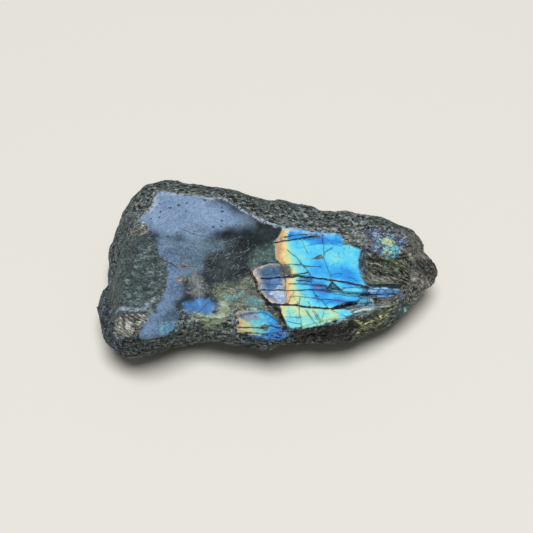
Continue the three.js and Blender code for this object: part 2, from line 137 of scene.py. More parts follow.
# Each zone's outline in plan, in millimetres.
OUTLINES: dict[Zone, Outline] = {
    Zone.FRONT: (
        (-60, -60), (-52, -33), (-44, -33.4), (-38, -34), (-31, -31.4), (-20, -28), (-10, -30.6),
        (-3, -32), (4, -32.6), (8.6, -30), (20, -28), (30, -27), (38, -24.6), (47, -18.4),
        (60, -30), (60, -60),
    ),
    Zone.END: (
        (25, 1.6), (28, 4), (34, 5.4), (46, 7), (50, 10), (70, 20), (70, -30), (46, -19),
        (40, -21), (31, -19), (33, -14), (31.4, -6), (30, -1),
    ),
    Zone.FLANK: (
        (-47, 14), (-44, 2), (-48, -10), (-49, -22), (-40, -34), (-48, -60), (-70, -30), (-70, 10),
    ),
    Zone.FLANK_LOW: (
        (-47, -15), (-44.6, -22), (-44, -30), (-38, -36), (-48, -60), (-70, -30), (-70, -14),
    ),
    Zone.OLIVE_BAND: (
        (7.8, -29.4), (20.4, -26.8), (28.4, -24.8), (33.8, -24), (37.7, -22.4), (42, -21.6),
        (39.4, -26), (30, -29.6), (18.8, -31.4), (10, -32.4),
    ),
    Zone.RAW_CORNER: (
        (-50.5, -22.6), (-45.9, -23.5), (-39.6, -24), (-38.8, -26.4), (-41, -28), (-41.4, -32),
        (-45.7, -33), (-50.5, -30.5),
    ),
    Zone.FLAKE: ((-45.6, 8.6), (-42, 8), (-39.2, 5), (-39.6, 2), (-43, 1), (-48, 2.5)),
    Zone.HOLLOW: (
        (32.4, 1.2), (33.6, -5.8), (32.6, -10), (36, -6), (46.5, -14.4), (49, -9), (49.4, -3),
        (44.6, -2.4), (40.3, -2.6), (36, -1),
    ),
    Zone.OLIVE_RIDGE: ((38.6, -2.7), (42.8, -2.9), (46.6, -5.5), (45, -7.2), (41.4, -5.2)),
    Zone.LUMP: (
        (30.6, -12), (32.3, -8.9), (35.4, -6.3), (40.7, -8.7), (45.4, -13.8), (41.5, -13.8),
        (34.8, -13.4),
    ),
    Zone.CRESCENT: (
        (32.3, 0.4), (34.7, 0.2), (34.1, -2.3), (33.6, -5.8), (34.1, -8.1), (31.9, -10.2),
        (30.9, -7.7), (31.3, -3.3),
    ),
    Zone.VEIN: ((50.4, -1.5), (53.7, 1.5), (57.4, 2.4), (54.5, -1.4), (50.8, -3.3)),
    Zone.NOSE_DARK: ((50.6, -1.6), (57.1, 0.8), (60, -1), (58.2, -5.4), (54.6, -6.6), (50.8, -6.2)),
    Zone.BACK_CREST: (
        (22.6, 4.4), (26.8, 6.2), (34.7, 5.3), (34.7, 0.3), (30.1, 0.2), (25, 1.4),
    ),
    Zone.LAYERS: (
        (21, -27.2), (25, -25.2), (29, -24.3), (25, -22.6), (23.6, -21.8), (28.3, -20.6),
        (34, -20.5), (39.9, -20.6), (38, -21.9), (33.6, -23.9), (28.6, -25), (24, -26.8),
    ),
    Zone.GREEN_STEPS: (
        (30, -26.6), (36.4, -24.2), (38.1, -22.5), (41.5, -20.7), (45.2, -18), (45.6, -19.4),
        (42, -22), (38.6, -24.6), (36.6, -25.4), (30.6, -27.6),
    ),
    Zone.TEAL_STEPS: (
        (41.9, -20.9), (45.6, -17.8), (47.6, -15.8), (48.9, -16.4), (48.4, -18), (44.6, -20.6),
        (42.4, -22),
    ),
    Zone.SLATE: (
        (-38, 4), (-22, 4), (-14, 2), (-16, -3), (-21, -7), (-25, -12), (-27, -17), (-37, -17),
    ),
    # The sheen zone: partly the stone's own blue-grey flash, partly a painted reflection of the
    # light on the polished face.
    Zone.SHEEN: (
        (-44, 8.5), (-41, 4.6), (-38, 3), (-35, 1), (-30, 1.4), (-26, 2.6), (-20, 3.6),
        (-12.3, 4.6), (-8, 6.2), (-6, 8.6), (-8.7, 12), (-14.6, 16.6), (-19, 20), (-30, 24),
        (-42, 24), (-43, 13),
    ),
    Zone.COLUMN: (
        (-36, -1), (-31, -5), (-27.7, -10), (-27.9, -14.8), (-28.8, -18.5), (-31, -21),
        (-29.6, -23.9), (-28.2, -26.3), (-29.5, -29.9), (-32.5, -32.5), (-38.2, -36),
        (-42, -33.2), (-41, -30.4), (-38.5, -27), (-37.4, -24.2), (-38, -20.3), (-38, -16.7),
        (-38, -8),
    ),
    Zone.GRAIN: (
        (-50, 4), (-39, 3.9), (-37.7, 0.3), (-36.5, -3.5), (-33.4, -6.8), (-33.2, -9.7),
        (-33.3, -14), (-33.8, -17), (-35.3, -19.3), (-36, -21.8), (-36.6, -24.6), (-52, -26),
        (-54, -12),
    ),
    Zone.SCRATCHED: (
        (-17, 3), (-4, 3), (-1.5, -2), (-3, -5), (-6.4, -12), (-14, -15.4), (-23, -12), (-21, -3),
    ),
    Zone.MINERAL: (
        (-26, -11.8), (-23.6, -10.8), (-21, -14.4), (-21, -18.7), (-23.1, -19.8), (-25.6, -17),
    ),
    Zone.RUST_UPPER: ((-30.4, -7.6), (-27.4, -6.8), (-26.4, -8), (-28.4, -8.9)),
    Zone.RUST_LOWER: ((-30.4, -12.4), (-28.4, -11.6), (-26.6, -12.6), (-28, -14), (-29.8, -13.8)),
    Zone.TEAL_EDGE: (
        (-5.2, -9.3), (-5.9, -6.5), (-4.9, -3.1), (-2.9, -1.2), (0.5, 0.3), (3.4, 1.1), (4, -2.2),
        (5.6, -6.3), (1.2, -6.3), (-1.5, -7.1), (-3.5, -8.3),
    ),
    Zone.GOLD: (
        (-19.5, -16.9), (-14.9, -14.3), (-10.2, -13.8), (-5.5, -11.3), (-3.9, -12.6),
        (-2.6, -15.2), (-1.2, -18), (0.4, -20.1), (2, -21.6), (0, -22.8), (-5.5, -23.2),
        (-9.5, -23.7), (-13.4, -26.4), (-16.8, -27), (-14.6, -24.1), (-14.1, -20.6), (-17.5, -20.1),
    ),
    Zone.GOLD_DARK: (
        (-9.5, -16.9), (-6.9, -16.1), (-2.2, -16.9), (-1.2, -18.3), (-4.2, -18.8), (-7.5, -18.6),
    ),
    Zone.TEAL_UPPER: (
        (-14.2, -18.9), (-10.8, -18), (-7.5, -16.4), (-6.7, -17.2), (-9.5, -19.1), (-12.8, -20),
    ),
    Zone.TEAL_LOWER: (
        (-6.8, -18.9), (-3.5, -18.3), (-1.2, -19.6), (-1.4, -21.5), (-4.8, -21.4), (-7.2, -20.1),
    ),
    Zone.BLUE_PATCH: (
        (-25.4, -20.4), (-22.1, -19.7), (-18.6, -19.8), (-17.2, -21.2), (-16.6, -23.2),
        (-18.2, -25), (-21.6, -25), (-25, -24.2), (-27, -23.3), (-27.6, -21.3),
    ),
    Zone.BLUE_EDGE: (
        (-24, -23.4), (-20, -24.8), (-16.6, -24.6), (-15.2, -22.8), (-15.4, -20.6),
        (-13.2, -20), (-12.4, -22.6), (-13.2, -25.4), (-16, -27.6), (-20, -27.4), (-24, -25.6),
    ),
    Zone.CORNER_SPOT: (
        (-35.4, -30.4), (-33.4, -29.2), (-30.6, -29), (-29.6, -30.6), (-31.4, -33), (-34.6, -33.2),
    ),
    Zone.CORNER_DARK: (
        (-35, -26), (-31.3, -23.4), (-28.5, -24.2), (-29.1, -27), (-33, -28.4),
    ),
    Zone.SLAB: (
        (5.6, 6.8), (4.6, 4), (2.8, 1.6), (3.2, -1.5), (3, -4.5), (5.2, -6.6), (6.2, -9.6),
        (6.5, -12.9), (6.2, -16.9), (5.6, -21.2), (4.3, -23.2), (4.6, -25.3), (6, -28),
        (8.6, -29.6), (12, -29.2), (20.4, -27.2), (28.4, -24.6), (23.8, -21.6), (25.6, -20.8),
        (30.4, -20.4), (31.4, -17), (32.6, -13.8), (31.9, -10.4), (30.9, -7.7), (31.3, -3.3),
        (32, -0.8), (28.4, 0.6), (25.8, 0.9), (25.4, 3.2), (23, 4.4), (18.9, 5), (13, 6.2),
        (8.4, 6.6),
    ),
    Zone.SLAB_RUN: (
        (5.6, 60), (5.4, 6.8), (4.4, 4), (2.8, 1.8), (3.3, -1.5), (3.2, -4.5), (5.4, -6.6),
        (6.4, -9.6), (6.8, -12.9), (6.5, -16.9), (5.8, -21.2), (4.4, -23.2), (4.6, -25.3),
        (5, -60), (90, -60), (90, 60),
    ),
    Zone.SLAB_BACK: (
        (8.4, 7), (18.9, 6), (26, 4.4), (25.8, 1), (20.5, 1), (15, 0.6), (12.4, 2.6), (9.7, 2.6),
        (7, 2),
    ),
    Zone.SLAB_DEEP: (
        (14, -7.4), (17.4, -6.4), (21.4, -7), (26.4, -7.6), (30.8, -8.6), (32, -13.6),
        (24.7, -12.6), (17.3, -12), (14.3, -11.3),
    ),
    Zone.SLAB_MIDDLE: (
        (13.9, -11.7), (21.3, -12.2), (28, -13.2), (32.6, -14.4), (31.7, -17), (30.2, -19.5),
        (24.5, -21.3), (19.5, -22.3), (15.5, -22), (15, -17.8),
    ),
    Zone.SLAB_FRONT: (
        (4.6, -21.2), (10.4, -21.6), (17.8, -22.4), (23.8, -21.7), (28.6, -24.4), (20.9, -27.5),
        (13.2, -29.2), (10, -29.6), (7.6, -25.7), (4, -24),
    ),
    Zone.SLAB_TIP: (
        (4.8, -26.2), (7.8, -25), (10.6, -25.4), (11.6, -27), (11, -29.2), (8.8, -29.6),
        (6.4, -28.4),
    ),
    Zone.CHIP: ((15.2, -4.6), (18.6, -2.7), (19.2, -4.4), (17, -4.9)),
    Zone.SHATTER: ((10.6, -10.6), (15.6, -10.8), (16.2, -12.8), (11.2, -13.4)),
    Zone.TRIANGLE: ((20.2, -15.8), (21.9, -13.3), (25.3, -16.1)),
    Zone.LOBE: (
        (-5.3, -9.6), (-3.6, -8.4), (-1.5, -7.3), (1.2, -6.5), (4.6, -6.6), (5.4, -8.4),
        (6.2, -12.9), (6.1, -16.9), (5.6, -21.6), (2.6, -21.4), (0, -20.2), (-2, -17.4),
        (-2.7, -15.2), (-3, -13), (-3.7, -11.6), (-5, -10.7),
    ),
    Zone.LOBE_BLUE: (
        (-3.1, -8.8), (1.2, -7.2), (4.7, -7.9), (5.7, -10.7), (5.1, -14.3), (5.7, -20.8),
        (3.2, -20.9), (-0.2, -18.4), (-1.5, -14.4), (-2.5, -11.5),
    ),
    Zone.LOBE_DARK: (
        (-2.2, -8.6), (1.2, -7.1), (5.1, -7.9), (5.4, -10.7), (1.2, -11.3), (-1.5, -10.8),
    ),
    Zone.LOBE_PALE: ((1.3, -16.9), (4.2, -15.6), (6.4, -16.5), (6.4, -21.2), (3.5, -21.4)),
    Zone.DUSK: ((4.2, -6.6), (8.1, -6.8), (8.4, -11.6), (5.4, -12.4), (4.6, -10)),
    Zone.BROKEN_EDGE: (
        (-0.2, -18.8), (1.9, -21.1), (4.9, -22.6), (5.6, -26), (6.8, -28.6), (5.4, -29.4),
        (3.9, -26.4), (1.2, -23.7), (-0.8, -21.1),
    ),
    Zone.LOWER: (
        (-9.7, -23.8), (-5.5, -23.2), (-1.5, -23), (1.4, -23.9), (3.7, -26.1), (6.1, -28.2),
        (7.4, -29.9), (6.3, -31.2), (2.8, -31.9), (-1.5, -31.7), (-7.2, -30.1), (-9.8, -29.4),
        (-9.1, -27.1), (-9.6, -25.4),
    ),
    Zone.LOWER_BAR: (
        (-9.3, -24.1), (-5.5, -23.3), (-2.6, -23.5), (-2.3, -25.3), (-5.8, -26), (-9, -25.3),
    ),
    Zone.LOWER_FOOT: (
        (-5.4, -30.5), (-1.5, -30.7), (3.2, -29.8), (7.6, -29.8), (6.4, -32), (2.8, -33),
        (-3, -32.4),
    ),
    Zone.LOWER_PIT: ((-2.5, -27.3), (-0.2, -27), (0.8, -28.3), (-0.2, -29.3), (-1.8, -28.6)),
    Zone.CRYSTALS: (
        (33.6, 6.4), (37.6, 7.4), (42.6, 6.6), (47.6, 4.6), (48.2, 2.6), (45.8, -0.6),
        (44.4, -2.6), (39.6, -2), (36.2, -1), (35.6, 2.6),
    ),
    Zone.CRYSTALS_BRIGHT: (
        (38.8, 4.3), (42.8, 4.5), (43.2, 2.6), (45.4, 0.6), (44.6, -2.2), (40.3, -2.4),
        (39.4, 0.8), (38.6, 2),
    ),
    Zone.SLIVER: (
        (32.6, -14.4), (36, -14.3), (39.8, -14.8), (43.1, -15.4), (46.2, -16), (46, -16.6),
        (43, -16.8), (39.4, -17.6), (36.4, -17.6), (32.4, -16.8),
    ),
    Zone.CELLS: (
        (30.4, -17.1), (34.6, -17), (34.6, -18), (35.8, -18.8), (35.8, -20.2), (30.4, -20.3),
    ),
    Zone.BROWN: (
        (34.5, -17.2), (39.4, -17.7), (45, -16.7), (42.1, -18.6), (38.5, -20), (36, -20.5),
        (35.6, -18.6),
    ),
}


class Trace(Enum):
    """Lines on the surface, each set kept as distances from its nearest line."""

    CRACKS = "cracks"
    EDGE = "edge"
    CREST = "crest"
    STAINS = "stains"


@dataclass(frozen=True)
class Line:
    """A crack or a seam: its half width and its course, in millimetres."""

    half_width: float
    course: Outline


LINES: dict[Trace, tuple[Line, ...]] = {
    # The cracks of the flashing slab, from its back edge to its front edge, then the lower patch's.
    Trace.CRACKS: (
        Line(0.2, ((3.2, 1.4), (9.7, 2.5), (15, 3.7), (19, 4.1))),
        Line(0.14, ((6.3, 3.4), (9.7, 4.3), (16.5, 4.7))),
        Line(0.1, ((14, 0.4), (18.2, 1.1), (22.6, 1.1), (25.7, 0.6))),
        Line(0.1, ((11.7, 2.3), (15, 2.6), (18.5, 3.6))),
        Line(
            0.12,
            ((7, -1.4), (9.7, -3.6), (12, -6.6), (13.8, -8.8), (14.8, -10.7), (15.1, -13.2)),
        ),
        Line(0.13, ((6.3, -6.8), (9.7, -6.6), (12.4, -6.9), (14.8, -7.3), (17.9, -7.5))),
        Line(0.1, ((18.7, 3.8), (19.4, 0.4), (19.6, -5), (20.6, -8), (21.6, -11))),
        Line(0.12, ((19.4, -4), (19.9, -2), (22, -0.7))),
        Line(0.1, ((11.7, 2.6), (13, -0.3), (13.8, -2))),
        Line(
            0.25,
            (
                (-1.5, -12), (5, -11.7), (10.4, -11), (14.8, -11.5), (20, -12), (25, -12.7),
                (30, -13.8), (34, -14.7),
            ),
        ),
        Line(0.15, ((7.7, -10.7), (10.4, -10.3), (14, -9.7))),
        Line(0.15, ((10.4, -12.5), (14.8, -13))),
        Line(0.16, ((15.8, -14), (20, -14.3))),
        Line(0.1, ((-1.9, -14.1), (5, -14.3))),
        Line(
            0.14,
            ((7.9, -14), (9.9, -13.8), (14.6, -14.2), (20.7, -14.9), (26.1, -16.3), (32.5, -16.9)),
        ),
        Line(0.12, ((16, -15.8), (19.7, -16.6), (25, -17.6), (30.6, -18.4))),
        Line(0.11, ((7.9, -18.6), (12, -18.4), (17, -19.2), (22.9, -19.5), (29.8, -20.1))),
        Line(0.1, ((16, -17.1), (19.4, -20.9), (21.5, -23))),
        Line(0.1, ((21.5, -10.7), (23.4, -9.9), (25.1, -10.1))),
        Line(0.1, ((27.8, -11.2), (29.1, -11.6), (30.1, -12.5))),
        Line(
            0.16,
            (
                (-2.2, -16.2), (6.3, -16.2), (11.4, -16.2), (16.5, -15.9), (21.6, -16.1),
                (25.3, -16.8), (30, -17.3), (34.2, -16.9),
            ),
        ),
        Line(0.2, ((20.2, -15.8), (21.9, -13.3), (25.3, -16.1))),
        Line(0.13, ((25.7, -15), (30, -14.9), (33.5, -15))),
        Line(
            0.3,
            (
                (2.9, -21.3), (10.4, -21.7), (16.5, -22.3), (21.6, -22.6), (25.3, -21),
                (29.8, -20),
            ),
        ),
        Line(0.1, ((11, -19.4), (10.9, -24.9))),
        Line(0.1, ((13.8, -20.4), (15.5, -23), (17.9, -26.6))),
        Line(0.1, ((13, -23.7), (15.5, -27.6))),
        Line(0.09, ((19.2, -23), (18.5, -26.6))),
        Line(0.09, ((6.6, -16.2), (6.5, -20.8))),
        Line(0.1, ((9.4, -16.2), (7.1, -21))),
        Line(0.1, ((15.8, -16.5), (17.5, -21.2))),
        Line(0.12, ((6.2, -27.3), (10.8, -28.1))),
        Line(0.1, ((13.7, -24.1), (17, -28.7))),
        Line(0.1, ((15.4, -23.8), (18.5, -28.7))),
        Line(0.1, ((10.3, -20.6), (11.8, -28.7))),
        Line(0.1, ((6.3, -25.8), (11.4, -25.8))),
        Line(0.09, ((21.5, -23.2), (26.5, -25.2))),
        Line(0.16, ((-9, -28.2), (-5, -28.1), (-1.8, -28.4), (2, -27.6), (5.6, -28.6))),
        Line(0.16, ((-8.6, -29.9), (-1, -30.3), (2, -29.9), (6.8, -29.4))),
    ),
    # The dark line at the foot of the slab's broken left edge: partly a real fracture gap, partly
    # painted shade under the step.
    Trace.EDGE: (
        Line(
            0.25,
            (
                (-5.1, -9.2), (-4.7, -11.1), (-3.4, -13.8), (-2.7, -16.6), (-0.7, -19.1),
                (1.6, -21), (4.3, -23.6), (5.6, -26.7), (6.3, -28.4),
            ),
        ),
    ),
    # The pale, chipped lip between the polished face and the raw back.
    Trace.CREST: (
        Line(
            0.3,
            (
                (-45, 8), (-42, 10.6), (-39.4, 13), (-38, 15.6), (-38.5, 19.9), (-34.9, 18.9),
                (-31.6, 19.3), (-27.8, 19.4), (-24.3, 19), (-21.2, 17.8), (-18.4, 17.6),
                (-15.4, 17.7), (-12.6, 16.8), (-8.6, 13.9), (-5.7, 11.7), (-2.9, 10.3),
                (-0.2, 9.2), (3.2, 7.7), (6.3, 6.8), (8.7, 6.3), (12.8, 5.6), (16.5, 4.9),
                (19.9, 4.4), (23, 4.8),
            ),
        ),
        Line(0.2, ((-49.6, -23.2), (-45, -24), (-41.6, -24), (-38.9, -22), (-37.6, -20))),
    ),
    # Healed, rusty cracks in the dull part.
    Trace.STAINS: (
        Line(0.12, ((-36.4, -4.8), (-33.7, -6.4), (-30, -8.4), (-27.6, -8), (-23.7, -8))),
        Line(0.1, ((-29.7, 6.2), (-25, 4.1), (-21.5, 3.3))),
        Line(0.1, ((-18.5, -20.5), (-20.1, -21.9), (-21.7, -24.1), (-23.3, -24.8))),
        Line(0.06, ((-16.8, -22.2), (-16.6, -26.5))),
    ),
}


# How far the front wall may stand out, 18 mm up: y for each x, in millimetres.
FRONT_WALL: Outline = (
    (-60, -12), (-57.4, -17.8), (-56.7, -22.1), (-55.7, -25.8), (-54.2, -29.1), (-51.3, -31.4),
    (-48.3, -33.7), (-46.2, -34.9), (-44.1, -34.7), (-41.2, -33.5), (-37.8, -32.4), (-35.3, -31.4),
    (-31.5, -30.2), (-27.2, -29.3), (-23.1, -28.6), (-18.8, -28.8), (-14.7, -29.5), (-10.4, -30.7),
    (-7.4, -31.2), (-2, -36), (4, -50),
)


@dataclass(frozen=True)
class Nudge:
    """A place where the outline is drawn in or out a little, in millimetres."""

    place: Point
    shift: Point
    reach: float


NUDGES: tuple[Nudge, ...] = (
    Nudge((54, 9), (-1.3, -0.4), 5.0),
    Nudge((58, -4.5), (0.7, 0.3), 4.0),
    Nudge((53, -9.5), (1.3, -1.1), 3.5),
    Nudge((50, -15), (-0.8, 0.3), 3.0),
)


@dataclass(frozen=True)
class PolishedFace:
    """The plane that the stone was ground to: its height over the origin in mm, and slopes."""

    height: float = 34.0
    slope_x: float = -0.03
    slope_y: float = 0.07

    def depth(self, places: np.ndarray) -> np.ndarray:
        """Measures how far places lie under the polished face.

        Args:
            places: Rows of x, y and z in millimetres.

        Returns:
            The depth of each place, in millimetres along z.
        """
        over = self.height + self.slope_x * places[:, 0] + self.slope_y * places[:, 1]
        return over - places[:, 2]


def segment_distance(
    plan: np.ndarray, start: Point, end: Point
) -> tuple[np.ndarray, np.ndarray]:
    """Measures how far points in plan are from a straight segment.

    Args:
        plan: Rows of x and y in millimetres.
        start: Where the segment starts.
        end: Where it ends.

    Returns:
        The distance from the segment, and the signed distance from the line through it.
    """
    run = np.subtract(end, start)
    length = np.hypot(*run)
    away = plan - start
    along = np.clip(away @ run / length**2, 0, 1)
    gap = np.hypot(*(away - along[:, None] * run).T)
    side = (run[0] * away[:, 1] - run[1] * away[:, 0]) / length
    return gap, side


def inside_distance(plan: np.ndarray, outline: Outline) -> np.ndarray:
    """Measures how far inside an outline each point in plan is.

    Args:
        plan: Rows of x and y in millimetres.
        outline: The outline's corners in millimetres.

    Returns:
        The distance to the outline, negative outside it.
    """
    x, y = plan[:, 0], plan[:, 1]
    inside = np.zeros(len(plan), bool)
    least = np.full(len(plan), np.inf)
    for start, end in zip(outline, outline[1:] + outline[:1]):
        (ax, ay), (bx, by) = start, end
        level = (y - ay) / (by - ay) if by != ay else 0
        inside ^= ((ay > y) != (by > y)) & (x < ax + level * (bx - ax))
        least = np.minimum(least, segment_distance(plan, start, end)[0])
    return np.where(inside, least, -least)


def smooth_share(value: np.ndarray, start: float, end: float) -> np.ndarray:
    """Eases from 0 where value is at start to 1 where it is at end."""
    share = np.clip((value - start) / (end - start), 0, 1)
    return share * share * (3 - 2 * share)


@dataclass
class StoneBody:
    """The whole stone: the frame's form, remeshed finely and roughened where it is raw.

    Lengths are in millimetres and angles in degrees. A pair of numbers says where something
    starts to show and where it is whole.
    """

    node: bpy.types.Object
    stone: bpy.types.Object = field(init=False)
    face: PolishedFace = field(default_factory=PolishedFace)
    seed: int = 7
    weld: float = 0.001
    octree_depth: int = 8
    octree_scale: float = 0.83
    smoothing: float = 0.5
    smoothing_rounds: int = 4
    rind_smoothing_rounds: int = 30
    front_level: float = 18.0
    front_lean: float = 0.45
    front_softness: float = 1.0
    front_relief: float = 0.9
    beyond_front: float = -60.0
    rind_depth: float = 1.2
    raw_depth: float = 0.5
    raw_fade: Point = (0.1, 1.1)
    foot_level: float = 0.2
    foot_fade: Point = (0.1, 1.4)
    underside_level: float = 0.02
    underside_angle: float = 0.5
    upper_level: float = 17.0
    upper_slope: float = 2.0
    crisp_angle: float = 38.0
    fine_zones: tuple[Zone, ...] = (
        Zone.SLAB, Zone.LOBE, Zone.LOWER, Zone.CRYSTALS, Zone.HOLLOW, Zone.SLIVER, Zone.CELLS,
        Zone.LAYERS,
    )
    ledge_margin: float = 1.0
    fine_margin: float = 0.3
    zone_fade: Point = (-0.5, 1.0)
    far: float = 20.0
    facet_scatter: float = 7.3
    facet_lean: float = 1.6
    grain_size: Triple = (3.2, 1.8, 1.8)
    grain_height: float = 0.34
    scale_size: float = 2.0
    scale_height: float = 0.22
    fine_size: float = 1.0
    fine_height: float = 0.1
    ridge_bearing: float = -28.0
    ridge_size: Triple = (7.0, 1.9, 4.0)
    ridge_height: float = 1.1
    crystal_size: float = 1.5
    crystal_height: float = 0.7
    layer_size: float = 1.5
    layer_height: float = 0.5
    layer_waver: Triple = (6.0, 3.0, 6.0)
    layer_calm: float = 0.6
    wax_calm: float = 0.8
    crest_height: float = 0.35
    crest_body: float = 0.4
    crest_reach: Point = (-1.6, -0.2)
    crest_fade: Point = (-0.2, 0.3)
    # How proud each place stands: the finish pales crests with it for wear and darkens hollows with
    # it as painted shade.
    proud_rounds: int = 3
    proud_unit: float = 0.1
    most_proud: float = 1.5
    line_waver: float = 0.3
    line_waver_size: Triple = (2.2, 2.2, 9.0)
    side_calm: float = 0.55
    side_turn: Point = (-0.85, -0.3)
    front_turn: Point = (0.2, 0.6)
    groove_half_width: float = 0.45
    groove_depth: float = 1.8
    hairline: float = 0.15

    def build(self) -> bpy.types.Object:
        """Models the stone.

        Returns:
            The finished object, with its place in its mesh.
        """
        noise.seed_set(self.seed)
        self.stone = self._copy_of_node()
        self._remesh()
        self._draw_in()
        self._soften_facets()
        self._clear_underside()
        self._refine()
        self._roughen()
        self._cut_cracks()
        self._mark()
        bpy.ops.object.shade_smooth_by_angle(angle=math.radians(self.crisp_angle))
        return self.stone

    def _copy_of_node(self) -> bpy.types.Object:
        """Copies the frame's node and joins its loose triangles into one skin.

        Returns:
            The copy, selected and active.
        """
        bpy.ops.object.select_all(action="DESELECT")
        self.node.select_set(True)
        bpy.context.view_layer.objects.active = self.node
        bpy.ops.object.duplicate()
        stone = bpy.context.active_object
        stone.name = "labradorite_stone"
        stone.parent = None
        for key in [key for key in stone.keys() if key.startswith("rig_")]:
            del stone[key]
        bpy.ops.object.mode_set(mode="EDIT")
        bpy.ops.mesh.select_all(action="SELECT")
        bpy.ops.mesh.remove_doubles(threshold=self.weld * MM)
        bpy.ops.object.mode_set(mode="OBJECT")
        return stone

    def _remesh(self) -> None:
        """Gives the stone an even, fine mesh that keeps the crisp edges of its ledges."""
        remesh = self.stone.modifiers.new("fine_mesh", "REMESH")
        remesh.mode = "SHARP"
        remesh.octree_depth = self.octree_depth
        remesh.scale = self.octree_scale
        remesh.sharpness = 1.0
        remesh.use_remove_disconnected = True
        bpy.ops.object.modifier_apply(modifier=remesh.name)

    def _draw_in(self) -> None:
        """Leans the front wall in under its brow, and moves the outline a little in places."""
        places = self._places()
        x, y = zip(*FRONT_WALL)
        brow = np.interp(places[:, 0], x, y, right=self.beyond_front)
        brow += (self.front_level - places[:, 2]) * self.front_lean
        beyond = (places[:, 1] - brow) / self.front_softness
        front = places[:, 1] < 0
        places[front, 1] = (brow + np.logaddexp(0, beyond) * self.front_softness)[front]
        for nudge in NUDGES:
            away = ((places[:, :2] - nudge.place) ** 2).sum(1)
            share = np.exp(-away / nudge.reach**2)
            places[:, :2] += share[:, None] * nudge.shift
        self._move(places)

    def _soften_facets(self) -> None:
        """Rounds the raw parts: the rind well, the ledges a little, and flat faces not at all."""
        places = self._places()
        depth = self.face.depth(places)
        lifted = places[:, 2] > self.foot_level
        inside = np.max([self._zone(places, zone) for zone in self.fine_zones], axis=0)
        rind = (depth > self.rind_depth) & lifted & (inside <= -self.ledge_margin)
        self._smooth((depth > self.raw_depth) & lifted, self.smoothing_rounds)
        self._smooth(rind, self.rind_smoothing_rounds)

    def _smooth(self, chosen: np.ndarray, rounds: int) -> None:
        """Smooths the chosen vertices.

        Args:
            chosen: Whether each vertex is smoothed.
            rounds: How often.
        """
        group = self.stone.vertex_groups.new(name="smoothed")
        group.add(np.flatnonzero(chosen).tolist(), 1.0, "REPLACE")
        smooth = self.stone.modifiers.new("weathering", "SMOOTH")
        smooth.vertex_group = group.name
        smooth.factor = self.smoothing
        smooth.iterations = rounds
        bpy.ops.object.modifier_apply(modifier=smooth.name)
        self.stone.vertex_groups.clear()

    def _clear_underside(self) -> None:
        """Joins the many small faces of the flat underside into a few."""
        self._select_faces(self._centres()[:, 2] < self.underside_level)
        bpy.ops.object.mode_set(mode="EDIT")
        bpy.ops.mesh.dissolve_limited(angle_limit=math.radians(self.underside_angle))
        bpy.ops.object.mode_set(mode="OBJECT")

    def _refine(self) -> None:
        """Subdivides the faces of the zones that carry fine cracks and crystals."""
        centres = self._centres()
        inside = np.max([self._zone(centres, zone) for zone in self.fine_zones], axis=0)
        self._select_faces(inside > -self.fine_margin)
        bpy.ops.object.mode_set(mode="EDIT")
        bpy.ops.mesh.subdivide(number_cuts=1)
        bpy.ops.object.mode_set(mode="OBJECT")

    def _select_faces(self, chosen: np.ndarray) -> None:
        """Selects some of the faces, and nothing else.

        Args:
            chosen: Whether each face is selected.
        """
        mesh = self.stone.data
        mesh.vertices.foreach_set("select", np.zeros(len(mesh.vertices), bool))
        mesh.edges.foreach_set("select", np.zeros(len(mesh.edges), bool))
        mesh.polygons.foreach_set("select", chosen)
        bpy.ops.object.mode_set(mode="EDIT")
        bpy.ops.mesh.select_mode(type="FACE")
        bpy.ops.object.mode_set(mode="OBJECT")

    def _read(self, name: str) -> np.ndarray:
        """Reads what the stone's vertices are asked for, one row of three for each.

        Args:
            name: Which property of a vertex is read.

        Returns:
            The rows.
        """
        flat = np.empty(len(self.stone.data.vertices) * 3, np.float32)
        self.stone.data.vertices.foreach_get(name, flat)
        return flat.reshape(-1, 3).astype(float)

    def _places(self) -> np.ndarray:
        """Reads the stone's vertices as rows of millimetres."""
        return self._read("co") / MM

    def _normals(self) -> np.ndarray:
        """Reads the stone's vertex normals as rows."""
        return self._read("normal")

    def _centres(self) -> np.ndarray:
        """Reads the middles of the stone's faces as rows of millimetres."""
        return np.array([tuple(face.center) for face in self.stone.data.polygons]) / MM

    def _move(self, places: np.ndarray) -> None:
        """Puts the stone's vertices at rows of millimetres."""
        self.stone.data.vertices.foreach_set("co", (places * MM).astype(np.float32).ravel())
        self.stone.data.update()

    def _zone(self, places: np.ndarray, zone: Zone) -> np.ndarray:
        """Measures how far inside a zone each place is, on the stone's upper side only.

        Args:
            places: Rows of x, y and z in millimetres.
            zone: The zone.

        Returns:
            The distance to the zone's border, negative outside it.
        """
        reach = np.full(len(places), -self.far)
        upper = places[:, 2] > self.upper_level
        reach[upper] = np.minimum(
            inside_distance(places[upper, :2], OUTLINES[zone]),
            (places[upper, 2] - self.upper_level) / self.upper_slope,
        )
        return reach

    def _cover(self, places: np.ndarray, zone: Zone) -> np.ndarray:
        """Covers a zone softly: 1 inside it and 0 outside it."""
        return smooth_share(self._zone(places, zone), *self.zone_fade)

    @staticmethod
    def _noise_at(places: np.ndarray, size: Triple) -> np.ndarray:
        """Samples smooth noise from -1 to 1, stretched to a size in millimetres."""
        return np.array([noise.noise(Vector(row)) for row in places / np.array(size)])

    def _ridges_at(self, places: np.ndarray, size: Triple) -> np.ndarray:
        """Samples noise with sharp crests, from about -1 to 1, stretched to a size."""
        return 0.6 - 3 * np.abs(self._noise_at(places, size))

    def _cells_at(self, places: np.ndarray, size: float) -> np.ndarray:
        """Samples the height of flat facets that lean every way.

        Args:
            places: Rows of x, y and z in millimetres.
            size: About how wide each facet is, in millimetres.

        Returns:
            The heights, from about -1 to 1.
        """
        heights = np.empty(len(places))
        for i, row in enumerate(places / size):
            home = noise.voronoi(Vector(row))[1][0]
            lean = noise.noise_vector(home * self.facet_scatter)
            heights[i] = (Vector(row) - home).dot(lean) * self.facet_lean
        return heights

